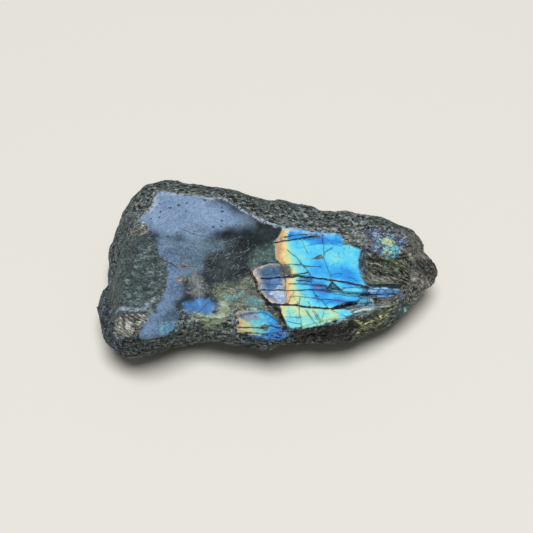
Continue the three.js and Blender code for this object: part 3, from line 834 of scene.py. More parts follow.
    def _roughen(self) -> None:
        """Displaces the raw parts along their normals, each zone in its own way."""
        places, normals = self._places(), self._normals()
        depth = self.face.depth(places)
        raw = smooth_share(depth, *self.raw_fade) * smooth_share(places[:, 2], *self.foot_fade)
        fine = self._noise_at(places, (self.fine_size,) * 3) * self.fine_height
        layered = np.maximum(
            self._cover(places, Zone.LAYERS), self._cover(places, Zone.GREEN_STEPS)
        )
        relief = self._rind_relief(places, normals, layered, fine)
        relief += self._ridge_relief(places) * self._cover(places, Zone.HOLLOW)
        crystals = self._cells_at(places, self.crystal_size) * self.crystal_height
        relief += crystals * self._cover(places, Zone.CRYSTALS)
        waver = self._noise_at(places, self.layer_waver)
        relief += ((depth / self.layer_size + waver) % 1.0 - 0.5) * self.layer_height * layered

        reach = smooth_share(-self._line_gap(places, Trace.CREST)[0], *self.crest_reach)
        lip = reach * (self.crest_body + fine / self.fine_height)
        lift = lip * self.crest_height * smooth_share(depth, *self.crest_fade)
        self._move(places + normals * (relief * raw + lift)[:, None])

    def _rind_relief(
        self, places: np.ndarray, normals: np.ndarray, layered: np.ndarray, fine: np.ndarray
    ) -> np.ndarray:
        """Measures the relief of the rind: its grain, its scales and its fine roughness.

        Args:
            places: Rows of x, y and z in millimetres.
            normals: The surface's direction at each place.
            layered: How far each place lies in the layers of the front wall, from 0 to 1.
            fine: The fine roughness at each place.

        Returns:
            The height at each place, in millimetres.
        """
        hollow, crystals = self._cover(places, Zone.HOLLOW), self._cover(places, Zone.CRYSTALS)
        waxy = np.maximum(self._cover(places, Zone.GOLD), self._cover(places, Zone.LOWER))
        plain = (1 - hollow) * (1 - crystals) * (1 - waxy) * (1 - self.layer_calm * layered)

        flank = self._cover(places, Zone.FLANK)[:, None]
        turned = places * (1 - flank) + places[:, [1, 0, 2]] * flank
        grain = self._ridges_at(turned, self.grain_size) * self.grain_height
        scales = self._cells_at(places, self.scale_size) * self.scale_height

        side = smooth_share(-normals[:, 2], *self.side_turn)
        front = smooth_share(-normals[:, 1], *self.front_turn) * side
        calm = 1 - self.side_calm * side * (1 - front) + self.front_relief * front
        return (grain + scales) * plain * calm + fine * (1 - self.wax_calm * waxy)

    def _ridge_relief(self, places: np.ndarray) -> np.ndarray:
        """Measures the height of ridges that all run one way.

        Args:
            places: Rows of x, y and z in millimetres.

        Returns:
            The height at each place, in millimetres.
        """
        turn = math.radians(self.ridge_bearing)
        along = places[:, 0] * math.cos(turn) + places[:, 1] * math.sin(turn)
        across = places[:, 1] * math.cos(turn) - places[:, 0] * math.sin(turn)
        run = np.stack([along, across, places[:, 2]], 1)
        return self._ridges_at(run, self.ridge_size) * self.ridge_height

    def _line_gap(
        self, places: np.ndarray, trace: Trace
    ) -> tuple[np.ndarray, np.ndarray, np.ndarray]:
        """Measures how far places are from the nearest of a set of lines, seen from above.

        Args:
            places: Rows of x, y and z in millimetres.
            trace: The set of lines.

        Returns:
            The distance, the signed distance, and the nearest line's half width.
        """
        least, sides = np.full((2, len(places)), self.far)
        widths = np.zeros(len(places))
        upper = np.flatnonzero(places[:, 2] > self.upper_level)
        above = places[upper]
        waver = np.stack([self._noise_at(at, self.line_waver_size) for at in (above, -above)], 1)
        plan = above[:, :2] + waver * self.line_waver
        for line in LINES[trace]:
            for start, end in zip(line.course, line.course[1:]):
                gap, side = segment_distance(plan, start, end)
                nearer = gap < least[upper]
                least[upper[nearer]] = gap[nearer]
                sides[upper[nearer]] = side[nearer]
                widths[upper[nearer]] = line.half_width
        return least, sides, widths

    def _cut_cracks(self) -> None:
        """Sinks a groove along every crack wider than a hairline, deeper where it is wider."""
        places = self._places()
        for trace in (Trace.CRACKS, Trace.EDGE):
            gap, _, width = self._line_gap(places, trace)
            depth = np.maximum(width - self.hairline, 0) * self.groove_depth
            places[:, 2] -= (1 - smooth_share(gap, 0.0, self.groove_half_width)) * depth
        self._move(places)

    def _mark(self) -> None:
        """Stores what the finish reads: the place, distances in zones and from lines, and how proud
        each place stands, which the finish uses for wear on crests and painted shade in hollows.
        """
        places = self._places()
        self._store("plan_x", places[:, 0])
        self._store("plan_y", places[:, 1])
        self._store("depth", self.face.depth(places))
        for zone in Zone:
            self._store(zone.value, self._zone(places, zone))
        for trace in Trace:
            gap, side, width = self._line_gap(places, trace)
            self._store(trace.value + "_gap", gap)
            self._store(trace.value + "_side", side)
            self._store(trace.value + "_width", width)
        self._store("wear", self._crests(places))

    def _store(self, name: str, values: np.ndarray) -> None:
        """Keeps one number for each vertex."""
        layer = self.stone.data.attributes.new(name, "FLOAT", "POINT")
        layer.data.foreach_set("value", values.astype(np.float32))

    def _crests(self, places: np.ndarray) -> np.ndarray:
        """Measures how far each vertex stands out of its surroundings.

        Args:
            places: Rows of x, y and z in millimetres.

        Returns:
            How proud each vertex is, from -1.5 to 1.5.
        """
        edges = self.stone.data.edges
        ends = np.empty(len(edges) * 2, np.int32)
        edges.foreach_get("vertices", ends)
        first, second = ends[0::2], ends[1::2]
        count = np.bincount(ends, minlength=len(places))[:, None]
        around = places
        for _ in range(self.proud_rounds):
            total = np.zeros_like(places)
            np.add.at(total, first, around[second])
            np.add.at(total, second, around[first])
            around = total / count
        proud = ((places - around) * self._normals()).sum(1)
        return np.clip(proud / self.proud_unit, -self.most_proud, self.most_proud)


class Value:
    """A number that a node gives, so that shader maths is written as an expression."""

    def __init__(self, graph: "Graph", socket: bpy.types.NodeSocket) -> None:
        """Wraps a socket of the graph."""
        self.graph = graph
        self.socket = socket

    def __add__(self, other: "Number") -> "Value":
        """Adds."""
        return self.graph.math("ADD", self, other)

    def __sub__(self, other: "Number") -> "Value":
        """Subtracts."""
        return self.graph.math("SUBTRACT", self, other)

    def __rsub__(self, other: "Number") -> "Value":
        """Subtracts this from a number."""
        return self.graph.math("SUBTRACT", other, self)

    def __mul__(self, other: "Number") -> "Value":
        """Multiplies."""
        return self.graph.math("MULTIPLY", self, other)

    def __abs__(self) -> "Value":
        """Drops the sign."""
        return self.graph.math("ABSOLUTE", self)

    def __or__(self, other: "Number") -> "Value":
        """Takes the larger, so that two masks cover what either does."""
        return self.graph.math("MAXIMUM", self, other)

    def __and__(self, other: "Number") -> "Value":
        """Takes the smaller, so that two masks cover only what both do."""
        return self.graph.math("MINIMUM", self, other)

    __radd__ = __add__
    __rmul__ = __mul__


Number = Value | float | int
Colouring = Colour | bpy.types.NodeSocket
Setting = str | bool | int | float | Stops
Input = Number | bpy.types.NodeSocket | tuple[float, ...]


class Graph:
    """A material's nodes."""

    def __init__(self, name: str) -> None:
        """Starts a material with an empty node tree.

        Args:
            name: The material's name.
        """
        self.material = bpy.data.materials.new(name)
        self.material.use_nodes = True
        self.tree = self.material.node_tree
        self.tree.nodes.clear()
        self.place = self.node("ShaderNodeTexCoord").outputs["Object"]

    def node(
        self,
        kind: str,
        settings: dict[str, Setting] | None = None,
        inputs: dict[str | int, Input] | None = None,
    ) -> bpy.types.Node:
        """Adds a node.

        Args:
            kind: The node's type.
            settings: Its properties, which are set first; stops are a colour ramp's.
            inputs: Values or links of its sockets, by name or place.

        Returns:
            The node.
        """
        made = self.tree.nodes.new(kind)
        for name, value in (settings or {}).items():
            if name == "stops":
                self._set_stops(made.color_ramp, value)
            else:
                setattr(made, name, value)
        for key, value in (inputs or {}).items():
            source = value.socket if isinstance(value, Value) else value
            if isinstance(source, bpy.types.NodeSocket):
                self.tree.links.new(source, made.inputs[key])
            else:
                made.inputs[key].default_value = source
        return made

    @staticmethod
    def _set_stops(ramp: bpy.types.ColorRamp, stops: Stops) -> None:
        """Puts stops on a ramp that has two.

        Args:
            ramp: The ramp.
            stops: The stops, each a place and a colour.
        """
        for _ in stops[2:]:
            ramp.elements.new(1.0)
        for element, (place, colour) in zip(ramp.elements, stops):
            element.position = place
            element.color = linear(colour)

    def math(self, operation: str, *operands: Number) -> Value:
        """Adds a Math node.

        Args:
            operation: The node's operation.
            operands: Its numbers.

        Returns:
            The result.
        """
        made = self.node("ShaderNodeMath", {"operation": operation}, dict(enumerate(operands)))
        return Value(self, made.outputs[0])

    def ease(self, value: Number, start: float, end: float) -> Value:
        """Eases a number from 0 to 1.

        Args:
            value: The number.
            start: Where the result starts to rise from 0.
            end: Where it reaches 1, more than start.

        Returns:
            The result.
        """
        made = self.node(
            "ShaderNodeMapRange",
            {"interpolation_type": "SMOOTHSTEP", "clamp": False},
            {"Value": value, "From Min": start, "From Max": end},
        )
        return Value(self, made.outputs["Result"])

    def mix(self, share: Number, under: Colouring, over: Colouring) -> bpy.types.NodeSocket:
        """Lays one colour over another.

        Args:
            share: How much of the upper colour shows.
            under: The lower colour.
            over: The upper colour.

        Returns:
            The mixed colour.
        """
        under, over = (linear(c) if isinstance(c, tuple) else c for c in (under, over))
        made = self.node("ShaderNodeMix", {"data_type": "RGBA"}, {0: share, 6: under, 7: over})
        return made.outputs[2]

    def blend(self, share: Number, under: Number, over: Number) -> Value:
        """Lays one number over another.

        Args:
            share: How much of the upper number counts.
            under: The lower number.
            over: The upper number.

        Returns:
            The number between them.
        """
        made = self.node("ShaderNodeMix", {"data_type": "FLOAT"}, {0: share, 2: under, 3: over})
        return Value(self, made.outputs[0])

    def ramp(self, value: Number, stops: Stops) -> bpy.types.NodeSocket:
        """Looks a number up in a row of colours."""
        made = self.node("ShaderNodeValToRGB", {"stops": stops}, {"Fac": value})
        return made.outputs["Color"]

    def attribute(self, name: str) -> Value:
        """Reads a number that the mesh keeps for each vertex."""
        made = self.node("ShaderNodeAttribute", {"attribute_name": name})
        return Value(self, made.outputs["Fac"])

    def spread(self, size: Triple, turn: float = 0.0) -> bpy.types.NodeSocket:
        """Gives the place, counted in lumps of one size.

        Args:
            size: The lumps' size along each axis, in millimetres.
            turn: How far the axes are turned about the upright one, in degrees.

        Returns:
            The place.
        """
        made = self.node(
            "ShaderNodeMapping",
            {"vector_type": "TEXTURE"},
            {
                "Vector": self.place,
                "Rotation": (0.0, 0.0, math.radians(-turn)),
                "Scale": tuple(length * MM for length in size),
            },
        )
        return made.outputs["Vector"]

    def noise(
        self,
        size: Triple,
        turn: float = 0.0,
        detail: float = 3.0,
        roughness: float = 0.5,
        warp: float = 0.0,
    ) -> Value:
        """Adds noise about zero, mostly from -0.2 to 0.2.

        Args:
            size: The size of its lumps along each axis, in millimetres.
            turn: How far its axes are turned about the upright one, in degrees.
            detail: How many finer layers it has.
            roughness: How strong the finer layers are.
            warp: How far it is twisted.

        Returns:
            The noise.
        """
        made = self.node(
            "ShaderNodeTexNoise",
            {},
            {
                "Vector": self.spread(size, turn),
                "Scale": 1.0,
                "Detail": detail,
                "Roughness": roughness,
                "Distortion": warp,
            },
        )
        return Value(self, made.outputs["Fac"]) - 0.5

    def cells(
        self,
        size: Triple,
        feature: str = "F1",
        dimensions: str = "3D",
        sway: tuple[Value, Value] | None = None,
    ) -> bpy.types.Node:
        """Adds Voronoi cells.

        Args:
            size: The cells' size along each axis, in millimetres.
            feature: Which measure of the cells the node gives.
            dimensions: Whether the cells fill space, or only the plan.
            sway: How far the cells are pushed aside in x and y, in cells.

        Returns:
            The node.
        """
        place = self.spread(size)
        if sway:
            push = self.node("ShaderNodeCombineXYZ", {}, dict(zip("XY", sway)))
            inputs = {0: place, 1: push.outputs["Vector"]}
            moved = self.node("ShaderNodeVectorMath", {"operation": "ADD"}, inputs)
            place = moved.outputs["Vector"]
        return self.node(
            "ShaderNodeTexVoronoi",
            {"feature": feature, "voronoi_dimensions": dimensions},
            {"Vector": place, "Scale": 1.0},
        )

    def lot(self, cell: bpy.types.Node) -> Value:
        """Gives each Voronoi cell a number of its own, from 0 to 1."""
        parts = self.node("ShaderNodeSeparateColor", {}, {"Color": cell.outputs["Color"]})
        return Value(self, parts.outputs["Red"])


class Grain(Enum):
    """The patterns that finishes are mottled with.

    Each has the size of its lumps in mm, the turn of its run, its warp, and how much of a
    finish's palest colour lies in fine specks of its own.
    """

    CLOUD = ((9.0, 7.0, 9.0), 0.0, 0.3, 0.6)
    WANDER = ((2.6, 2.6, 2.6), 0.0, 0.0, 0.6)
    MOTTLE = ((1.3, 1.1, 1.1), 0.0, 0.4, 0.7)
    FINE = ((0.6, 0.5, 0.5), 0.0, 0.0, 0.7)
    ALONG = ((2.6, 1.0, 1.1), 8.0, 0.5, 0.8)
    ACROSS = ((1.0, 2.4, 2.0), 8.0, 0.5, 0.8)
    RIDGES = ((3.6, 0.9, 1.3), 28.0, 0.8, 0.2)
    LAYERS = ((5.0, 0.7, 0.8), -13.0, 0.4, 0.2)
    ROCK = ((2.4, 1.3, 1.1), -8.0, 0.9, 0.35)

    def __init__(self, size: Triple, turn: float, warp: float, grit: float) -> None:
        """Keeps the pattern's settings.

        Args:
            size: The size of its lumps along each axis, in millimetres.
            turn: How far its run is turned, in degrees.
            warp: How far it is twisted.
            grit: How much of a finish's palest colour lies in fine specks.
        """
        self.size = size
        self.turn = turn
        self.warp = warp
        self.grit = grit


@dataclass
class Skin:
    """What shows so far.

    The body has a colour, and a gloss from 0, raw, to 1, polished. Over it lies the flash: how
    much of it shows, and its hue along the flash colours.
    """

    colour: bpy.types.NodeSocket
    gloss: Number = 0.0
    flash: Number = 0.0
    hue: Number = 0.5


class Fields:
    """The measures and patterns that all of the stone's finishes read.

    Sizes are in millimetres. A pair of numbers says where something starts to show and where
    it is whole, here and in the finishes.
    """

    swell_size: Triple = (8.0, 6.0, 8.0)
    block_size: Triple = (4.4, 2.4, 6.0)
    web_size: Triple = (2.8, 2.2, 6.0)
    sway_size: Triple = (2.4, 2.4, 2.4)
    sway: float = 1.6
    grain_detail: int = 5
    grain_roughness: float = 0.64
    to_middle: Point = (-0.38, 0.16)
    to_high: Point = (0.04, 0.42)
    speck_strength: float = 1.3
    border_wander: float = 5.0
    sink_fade: float = 0.7
    line_stray: float = 0.2
    line_swell: float = 2.0
    line_end: float = 0.3
    thin_line: float = 0.2

    def __init__(self, graph: Graph) -> None:
        """Adds the nodes that give the place, the depth under the polished face, and patterns.

        Args:
            graph: The material's nodes.
        """
        self.graph = graph
        self.x = graph.attribute("plan_x")
        self.y = graph.attribute("plan_y")
        self.depth = graph.attribute("depth")
        self.wear = graph.attribute("wear")
        detail, roughness = self.grain_detail, self.grain_roughness
        self.grains = {
            grain: graph.noise(grain.size, grain.turn, detail, roughness, grain.warp)
            for grain in Grain
        }
        self.swell = graph.noise(self.swell_size, detail=1)
        self.wander = self.grains[Grain.WANDER]
        self.cloud = self.grains[Grain.CLOUD]
        self.fine = self.grains[Grain.FINE]
        self.mottle = self.grains[Grain.MOTTLE]
        self._shades: dict[tuple[Grain, float, float], tuple[Value, Value]] = {}
        self._split_into_blocks()

    def _split_into_blocks(self) -> None:
        """Adds the slab's blocks, a number for each, and the distance to a web of hairlines."""
        graph = self.graph
        sway = graph.noise(self.sway_size, detail=0), self.wander * self.sway
        self.block = graph.lot(graph.cells(self.block_size, sway=sway)) - 0.5
        edge = graph.cells(self.web_size, "DISTANCE_TO_EDGE", sway=sway)
        self.web = Value(graph, edge.outputs["Distance"])

    def shades(self, grain: Grain, contrast: float, crest_wear_and_shade: float) -> tuple[Value, Value]:
        """Gives how far a grain turns a low colour to a middle one, and that to a high one.

        Args:
            grain: The pattern.
            contrast: How strongly the pattern shows.
            crest_wear_and_shade: How much paler proud crests are than hollows: partly real wear,
                partly painted shade in the hollows.

        Returns:
            The two shares.
        """
        key = (grain, contrast, crest_wear_and_shade)
        if key not in self._shades:
            shade = self.grains[grain] * contrast
            gritty = contrast * grain.grit * self.speck_strength
            speck = shade * (1 - grain.grit * 0.5) + self.fine * gritty
            if crest_wear_and_shade:
                # Proud crests turn paler and hollows darker: partly wear, partly painted shade.
                shade = shade + self.wear * crest_wear_and_shade
            self._shades[key] = (
                self.graph.ease(shade, *self.to_middle), self.graph.ease(speck, *self.to_high)
            )
        return self._shades[key]

    def mask(self, zone: Zone, soft: float, stray: float) -> Value:
        """Covers a zone.

        Args:
            zone: The zone.
            soft: Half the width of its soft border, in millimetres.
            stray: About how far its border wanders, in millimetres.

        Returns:
            1 inside the zone and 0 outside it.
        """
        reach = self.graph.attribute(zone.value) + self.wander * (self.border_wander * stray)
        return self.graph.ease(reach + self.fine * stray, -soft, soft)

    def above(self, sink: float) -> Value:
        """Covers what lies less than some depth under the polished face, in millimetres."""
        return 1 - self.graph.ease(self.depth, sink, sink + self.sink_fade)

    def line(self, trace: Trace, soft: float) -> Value:
        """Covers a set of lines: 1 on a wide one, less on a thin one, and 0 away from them.

        Args:
            trace: The set of lines.
            soft: The width of a line's soft border, in millimetres.

        Returns:
            The cover.
        """
        graph = self.graph
        gap = graph.attribute(trace.value + "_gap")
        side = abs(graph.attribute(trace.value + "_side") + self.fine * self.line_stray)
        width = graph.attribute(trace.value + "_width") * (1 + self.wander * self.line_swell)
        near = (side - width) | (gap - width - self.line_end)
        return (1 - graph.ease(near, -0.02, soft)) * graph.ease(width, 0.0, self.thin_line)


@dataclass(frozen=True)
class Patch:
    """A zone with a mottled look of its own, from a low colour over a middle one to a high one."""

    zone: Zone
    grain: Grain
    low: Colour
    middle: Colour
    high: Colour
    soft: float = 0.5
    stray: float = 0.5
    share: float = 1.0
    gloss: float = 0.0
    # How much paler proud crests are than hollows: partly wear, partly painted shade in the
    # hollows.
    crest_wear_and_shade: float = 0.0
    contrast: float = 2.2
    sink: float = 0.0

    def lay(self, graph: Graph, fields: Fields, under: Skin) -> Skin:
        """Lays the patch on.

        Args:
            graph: The material's nodes.
            fields: The measures to read.
            under: What shows so far.

        Returns:
            What shows now.
        """
        cover = fields.mask(self.zone, self.soft, self.stray) * self.share
        if self.sink:
            cover = cover * fields.above(self.sink)
        to_middle, to_high = fields.shades(self.grain, self.contrast, self.crest_wear_and_shade)
        colour = graph.mix(to_high, graph.mix(to_middle, self.low, self.middle), self.high)
        return replace(
            under,
            colour=graph.mix(cover, under.colour, colour),
            gloss=graph.blend(cover, under.gloss, self.gloss),
        )


@dataclass(frozen=True)
class Mosaic:
    """A zone of small crystal faces, each in a colour of its own, with dark gaps between them."""

    zone: Zone
    size: Triple
    low: Colour
    middle: Colour
    high: Colour
    gap: Colour = (34, 42, 44)
    gap_width: float = 0.1
    gap_fade: Point = (0.3, 1.5)
    gap_stray: float = 0.3
    gap_share: float = 0.85
    soft: float = 0.5
    stray: float = 0.7
    share: float = 1.0
    gloss: float = 0.5

    def lay(self, graph: Graph, fields: Fields, under: Skin) -> Skin:
        """Lays the mosaic on.

        Args:
            graph: The material's nodes.
            fields: The measures to read.
            under: What shows so far.

        Returns:
            What shows now.
        """
        sway = fields.mottle, fields.fine
        lot = graph.lot(graph.cells(self.size, sway=sway)) + fields.fine
        colour = graph.mix(graph.ease(lot, 0.1, 0.5), self.low, self.middle)
        colour = graph.mix(graph.ease(lot, 0.5, 0.9), colour, self.high)
        edge = graph.cells(self.size, "DISTANCE_TO_EDGE", sway=sway)
        away = Value(graph, edge.outputs["Distance"]) + fields.mottle * self.gap_stray
        start, end = self.gap_fade
        gap = 1 - graph.ease(away, self.gap_width * start, self.gap_width * end)
        cover = fields.mask(self.zone, self.soft, self.stray) * self.share
        colour = graph.mix(gap * self.gap_share, colour, self.gap)
        return replace(
            under,
            colour=graph.mix(cover, under.colour, colour),
            gloss=graph.blend(cover, under.gloss, self.gloss),
        )


# The order of the stone's flash colours, from the palest edge to the deepest.
SCHILLER: Stops = (
    (0.0, (206, 190, 166)),
    (0.05, (186, 152, 120)),
    (0.11, (224, 174, 122)),
    (0.2, (234, 212, 146)),
    (0.3, (206, 228, 170)),
    (0.38, (146, 226, 210)),
    (0.47, (104, 216, 244)),
    (0.6, (72, 190, 248)),
    (0.72, (44, 156, 238)),
    (0.82, (62, 126, 212)),
    (0.92, (122, 136, 190)),
    (1.0, (196, 202, 228)),
)


@dataclass(frozen=True)
class Flash:
    """A zone that flashes in one part of the flash colours."""

    zone: Zone
    hue: float
    run: Zone | None = None
    rise: float = 0.0
    reach: float = 4.0
    lean: tuple[float, float, float, float] = (0.0, 0.0, 0.0, 0.0)
    cloud: float = 0.3
    mottle: float = 0.15
    blocks: float = 0.0
    soft: float = 0.3
    stray: float = 0.25
    share: float = 1.0
    gloss: float = 1.0
    sink: float = 1.0

    def lay(self, graph: Graph, fields: Fields, under: Skin) -> Skin:
        """Lays the flash on.

        Args:
            graph: The material's nodes.
            fields: The measures to read.
            under: What shows so far.

        Returns:
            What shows now.
        """
        hue = fields.swell * self.cloud + fields.mottle * self.mottle + self.hue
        if self.run:
            inside = graph.attribute(self.run.value) + fields.wander * 2
            hue = hue + (inside & self.reach) * self.rise
        if any(self.lean):
            lean_x, lean_y, x, y = self.lean
            hue = hue + (fields.x - x) * lean_x + (fields.y - y) * lean_y
        if self.blocks:
            hue = hue + fields.block * self.blocks
        cover = fields.mask(self.zone, self.soft, self.stray) * fields.above(self.sink)
        return replace(
            under,
            gloss=graph.blend(cover, under.gloss, self.gloss),
            flash=graph.blend(cover, under.flash, self.share),
            hue=graph.blend(cover, under.hue, hue),
        )


@dataclass(frozen=True)
class Rind:
    """The raw, weathered skin: dark grey-green, paler on proud crests and darker in hollows (partly
    wear, partly painted shade), curled, and flecked with pale specks that are partly painted
    glints.
    """

    low: Colour = (24, 31, 27)
    middle: Colour = (78, 90, 84)
    high: Colour = (182, 192, 197)
    curl: Colour = (150, 162, 166)
    # The pale flecks are partly mineral specks and partly painted glints.
    glint_fleck: Colour = (206, 210, 214)
    to_middle: Point = (-0.3, 0.2)
    to_high: Point = (0.04, 0.5)
    rim: Point = (1.0, 6.0)
    rim_paleness: float = 0.12
    curl_size: Triple = (2.0, 1.2, 1.3)
    curl_warp: float = 1.6
    curl_width: Point = (0.01, 0.05)
    curl_patches: Point = (-0.12, 0.12)
    curl_share: float = 0.75
    glint_fleck_size: Triple = (1.5, 1.1, 1.1)
    glint_fleck_spread: float = 0.45
    glint_fleck_chance: float = 0.2
    glint_fleck_edge: Point = (-0.03, 0.06)
    glint_fleck_share: float = 0.6

    def lay(self, graph: Graph, fields: Fields) -> Skin:
        """Starts the stone's skin.

        Args:
            graph: The material's nodes.
            fields: The measures to read.

        Returns:
            The raw skin.
        """
        along = fields.grains[Grain.ALONG]
        # The crest measure pales proud crests and darkens hollows: partly wear, partly painted
        # shade.
        shade = along * 1.6 + fields.wander * 1.4 + fields.wear * 0.25
        near = 1 - graph.ease(fields.depth, *self.rim)
        speck = fields.fine * 1.1 + fields.mottle * 2.4 + along * 1.4 + fields.cloud * 0.8
        speck = speck + near * self.rim_paleness
        colour = graph.mix(graph.ease(shade, *self.to_middle), self.low, self.middle)
        return Skin(graph.mix(graph.ease(speck, *self.to_high), colour, self.high))

    def glint_fleck_over(self, graph: Graph, fields: Fields, under: Skin, raw: Value) -> Skin:
        """Draws thin curled lines and scatters small pale flecks over all that is raw; the flecks
        are partly pale mineral specks and partly painted glints.

        Args:
            graph: The material's nodes.
            fields: The measures to read.
            under: What shows so far.
            raw: How raw each place is.

        Returns:
            What shows now.
        """
        curl = graph.noise(self.curl_size, detail=1, warp=self.curl_warp)
        line = 1 - graph.ease(abs(curl), *self.curl_width)
        line = line * graph.ease(fields.mottle + fields.wander, *self.curl_patches)
        colour = graph.mix(line * raw * self.curl_share, under.colour, self.curl)
        # Pale dots, partly mineral specks and partly painted glints.
        cell = graph.cells(self.glint_fleck_size)
        size = graph.lot(cell) * self.glint_fleck_spread - self.glint_fleck_chance
        dot = graph.ease(size - Value(graph, cell.outputs["Distance"]), *self.glint_fleck_edge)
        return replace(under, colour=graph.mix(dot * raw * self.glint_fleck_share, colour, self.glint_fleck))


@dataclass(frozen=True)
class DullFace:
    """The polished but dull part: near black, with grain, pits, scratches, and a lavender sheen
    that is partly the stone's own blue-grey flash and partly a painted reflection of the light.
    """

    dark: Colour = (30, 37, 41)
    smoke: Colour = (70, 81, 86)
    slate: Colour = (116, 140, 160)
    slate_shade: Colour = (74, 94, 112)
    column: Colour = (118, 144, 176)
    column_shade: Colour = (74, 98, 126)
    # The sheen colours are partly the stone's own blue-grey flash and partly a painted reflection
    # of the light.
    sheen: Colour = (144, 170, 200)
    sheen_shade: Colour = (108, 132, 164)
    scratch: Colour = (158, 166, 166)
    pit: Colour = (48, 58, 76)
    smoke_patches: Point = (-0.15, 0.4)
    smoke_share: float = 0.75
    tint_grain: Point = (-0.18, 0.18)
    tint_swell: float = 9.0
    tint_stray: float = 3.0
    polish_fade: Point = (0.1, 0.35)
    scratches: tuple[tuple[float, Triple], ...] = (
        (24, (0.2, 2.6, 3.0)),
        (68, (0.22, 4.0, 3.0)),
        (140, (0.18, 2.0, 3.0)),
    )
    scratch_edge: Point = (0.17, 0.25)
    scratch_share: float = 0.7
    pit_size: Triple = (3.0, 2.2, 3.0)
    pit_spread: float = 0.5
    pit_chance: float = 0.28
    pit_edge: Point = (-0.02, 0.04)
    pit_share: float = 0.85

    def lay(self, graph: Graph, fields: Fields, under: Skin) -> Skin:
        """Lays the dull face on, wherever the stone reaches the polished plane.

        Args:
            graph: The material's nodes.
            fields: The measures to read.
            under: What shows so far.

        Returns:
            What shows now.
        """
        smoke = graph.ease(fields.cloud * 1.4 + fields.mottle * 0.7, *self.smoke_patches)
        colour = graph.mix(smoke * self.smoke_share, self.dark, self.smoke)
        grain = fields.cloud * 0.5 + fields.mottle * 0.5 + fields.fine
        shade = graph.ease(grain, *self.tint_grain)
        slate = graph.mix(shade, self.slate_shade, self.slate)
        sheen = graph.mix(shade, self.sheen_shade, self.sheen)
        column = graph.mix(shade, self.column_shade, self.column)
        for zone, tone, start, end in (
            (Zone.SLATE, slate, -2.5, 4.0),
            (Zone.COLUMN, column, -2.5, 2.0),
            # The sheen, laid last, is partly the stone's own flash and partly a painted reflection
            # of the light.
            (Zone.SHEEN, sheen, -2.5, 5.0),
        ):
            reach = graph.attribute(zone.value) + fields.swell * self.tint_swell
            reach = reach + fields.wander * self.tint_stray
            colour = graph.mix(graph.ease(reach, start, end), colour, tone)
        polished = 1 - graph.ease(fields.depth + fields.wander * 0.4, *self.polish_fade)
        return replace(
            under,
            colour=graph.mix(polished, under.colour, colour),
            gloss=graph.blend(polished, under.gloss, 1.0),
        )

    def wear_down(self, graph: Graph, fields: Fields, under: Skin) -> Skin:
        """Adds the scratches and the pits to what is polished.

        Args:
            graph: The material's nodes.
            fields: The measures to read.
            under: What shows so far.

        Returns:
            What shows now.
        """
        cut: Value | None = None
        for turn, size in self.scratches:
            line = graph.ease(graph.noise(size, turn, detail=1), *self.scratch_edge)
            cut = line if cut is None else cut | line
        scratched = fields.mask(Zone.SCRATCHED, 2.0, 1.5) | fields.mask(Zone.GRAIN, 1.0, 1.0) * 0.7
        colour = graph.mix(cut * scratched * self.scratch_share, under.colour, self.scratch)
        cell = graph.cells(self.pit_size, dimensions="2D")
        lot = graph.lot(cell)
        away = Value(graph, cell.outputs["Distance"]) + fields.fine * 0.3
        pit = graph.ease(lot * self.pit_spread - self.pit_chance - away, *self.pit_edge)
        pitted = fields.mask(Zone.SHEEN, 1.5, 0.5)
        return replace(under, colour=graph.mix(pit * pitted * self.pit_share, colour, self.pit))


RAW_PATCHES: tuple[Patch, ...] = (
    Patch(
        Zone.FLANK, Grain.ACROSS, (18, 24, 21), (54, 65, 62), (148, 164, 174),
        soft=3.0, stray=2.0, crest_wear_and_shade=0.1, contrast=3.0,
    ),
    Patch(
        Zone.FLANK_LOW, Grain.ROCK, (20, 25, 23), (56, 66, 64), (126, 144, 178),
        soft=3.0, stray=2.0, crest_wear_and_shade=0.25, contrast=3.2,
    ),
    Patch(
        Zone.FRONT, Grain.ROCK, (9, 11, 10), (42, 49, 47), (142, 154, 158),
        soft=1.2, stray=1.0, crest_wear_and_shade=0.35, contrast=3.2,
    ),
    Patch(
        Zone.END, Grain.RIDGES, (42, 42, 37), (108, 109, 101), (200, 196, 186),
        soft=2.0, stray=1.0, crest_wear_and_shade=0.3, contrast=3.0,
    ),
    Patch(
        Zone.BACK_CREST, Grain.ALONG, (54, 57, 52), (116, 122, 117), (204, 208, 206),
        contrast=2.6, crest_wear_and_shade=0.2,
    ),
    Patch(
        Zone.OLIVE_BAND, Grain.LAYERS, (6, 7, 5), (18, 19, 13), (56, 58, 40),
        soft=0.7, stray=1.4, gloss=0.5,
    ),
    Patch(
        Zone.RAW_CORNER, Grain.RIDGES, (44, 44, 38), (146, 148, 138), (240, 240, 232),
        contrast=3.2, stray=0.9, crest_wear_and_shade=0.2,
    ),
    Patch(
        Zone.FLAKE, Grain.MOTTLE, (66, 72, 66), (120, 124, 114), (216, 216, 212), share=0.85,
    ),
    Patch(
        Zone.HOLLOW, Grain.RIDGES, (26, 26, 18), (82, 86, 70), (184, 186, 168),
        crest_wear_and_shade=0.4, contrast=3.4,
    ),
    Patch(Zone.OLIVE_RIDGE, Grain.RIDGES, (40, 46, 30), (88, 98, 70), (160, 170, 138), crest_wear_and_shade=0.3),
    Patch(Zone.LUMP, Grain.RIDGES, (72, 76, 66), (152, 158, 146), (226, 228, 216), crest_wear_and_shade=0.3),
    Patch(
        Zone.VEIN, Grain.RIDGES, (120, 112, 102), (172, 166, 156), (212, 208, 200), share=0.85,
    ),
    Patch(
        Zone.NOSE_DARK, Grain.ROCK, (14, 13, 8), (42, 40, 28), (108, 104, 84),
        soft=1.0, share=0.95, crest_wear_and_shade=0.2, contrast=3.0,
    ),
)

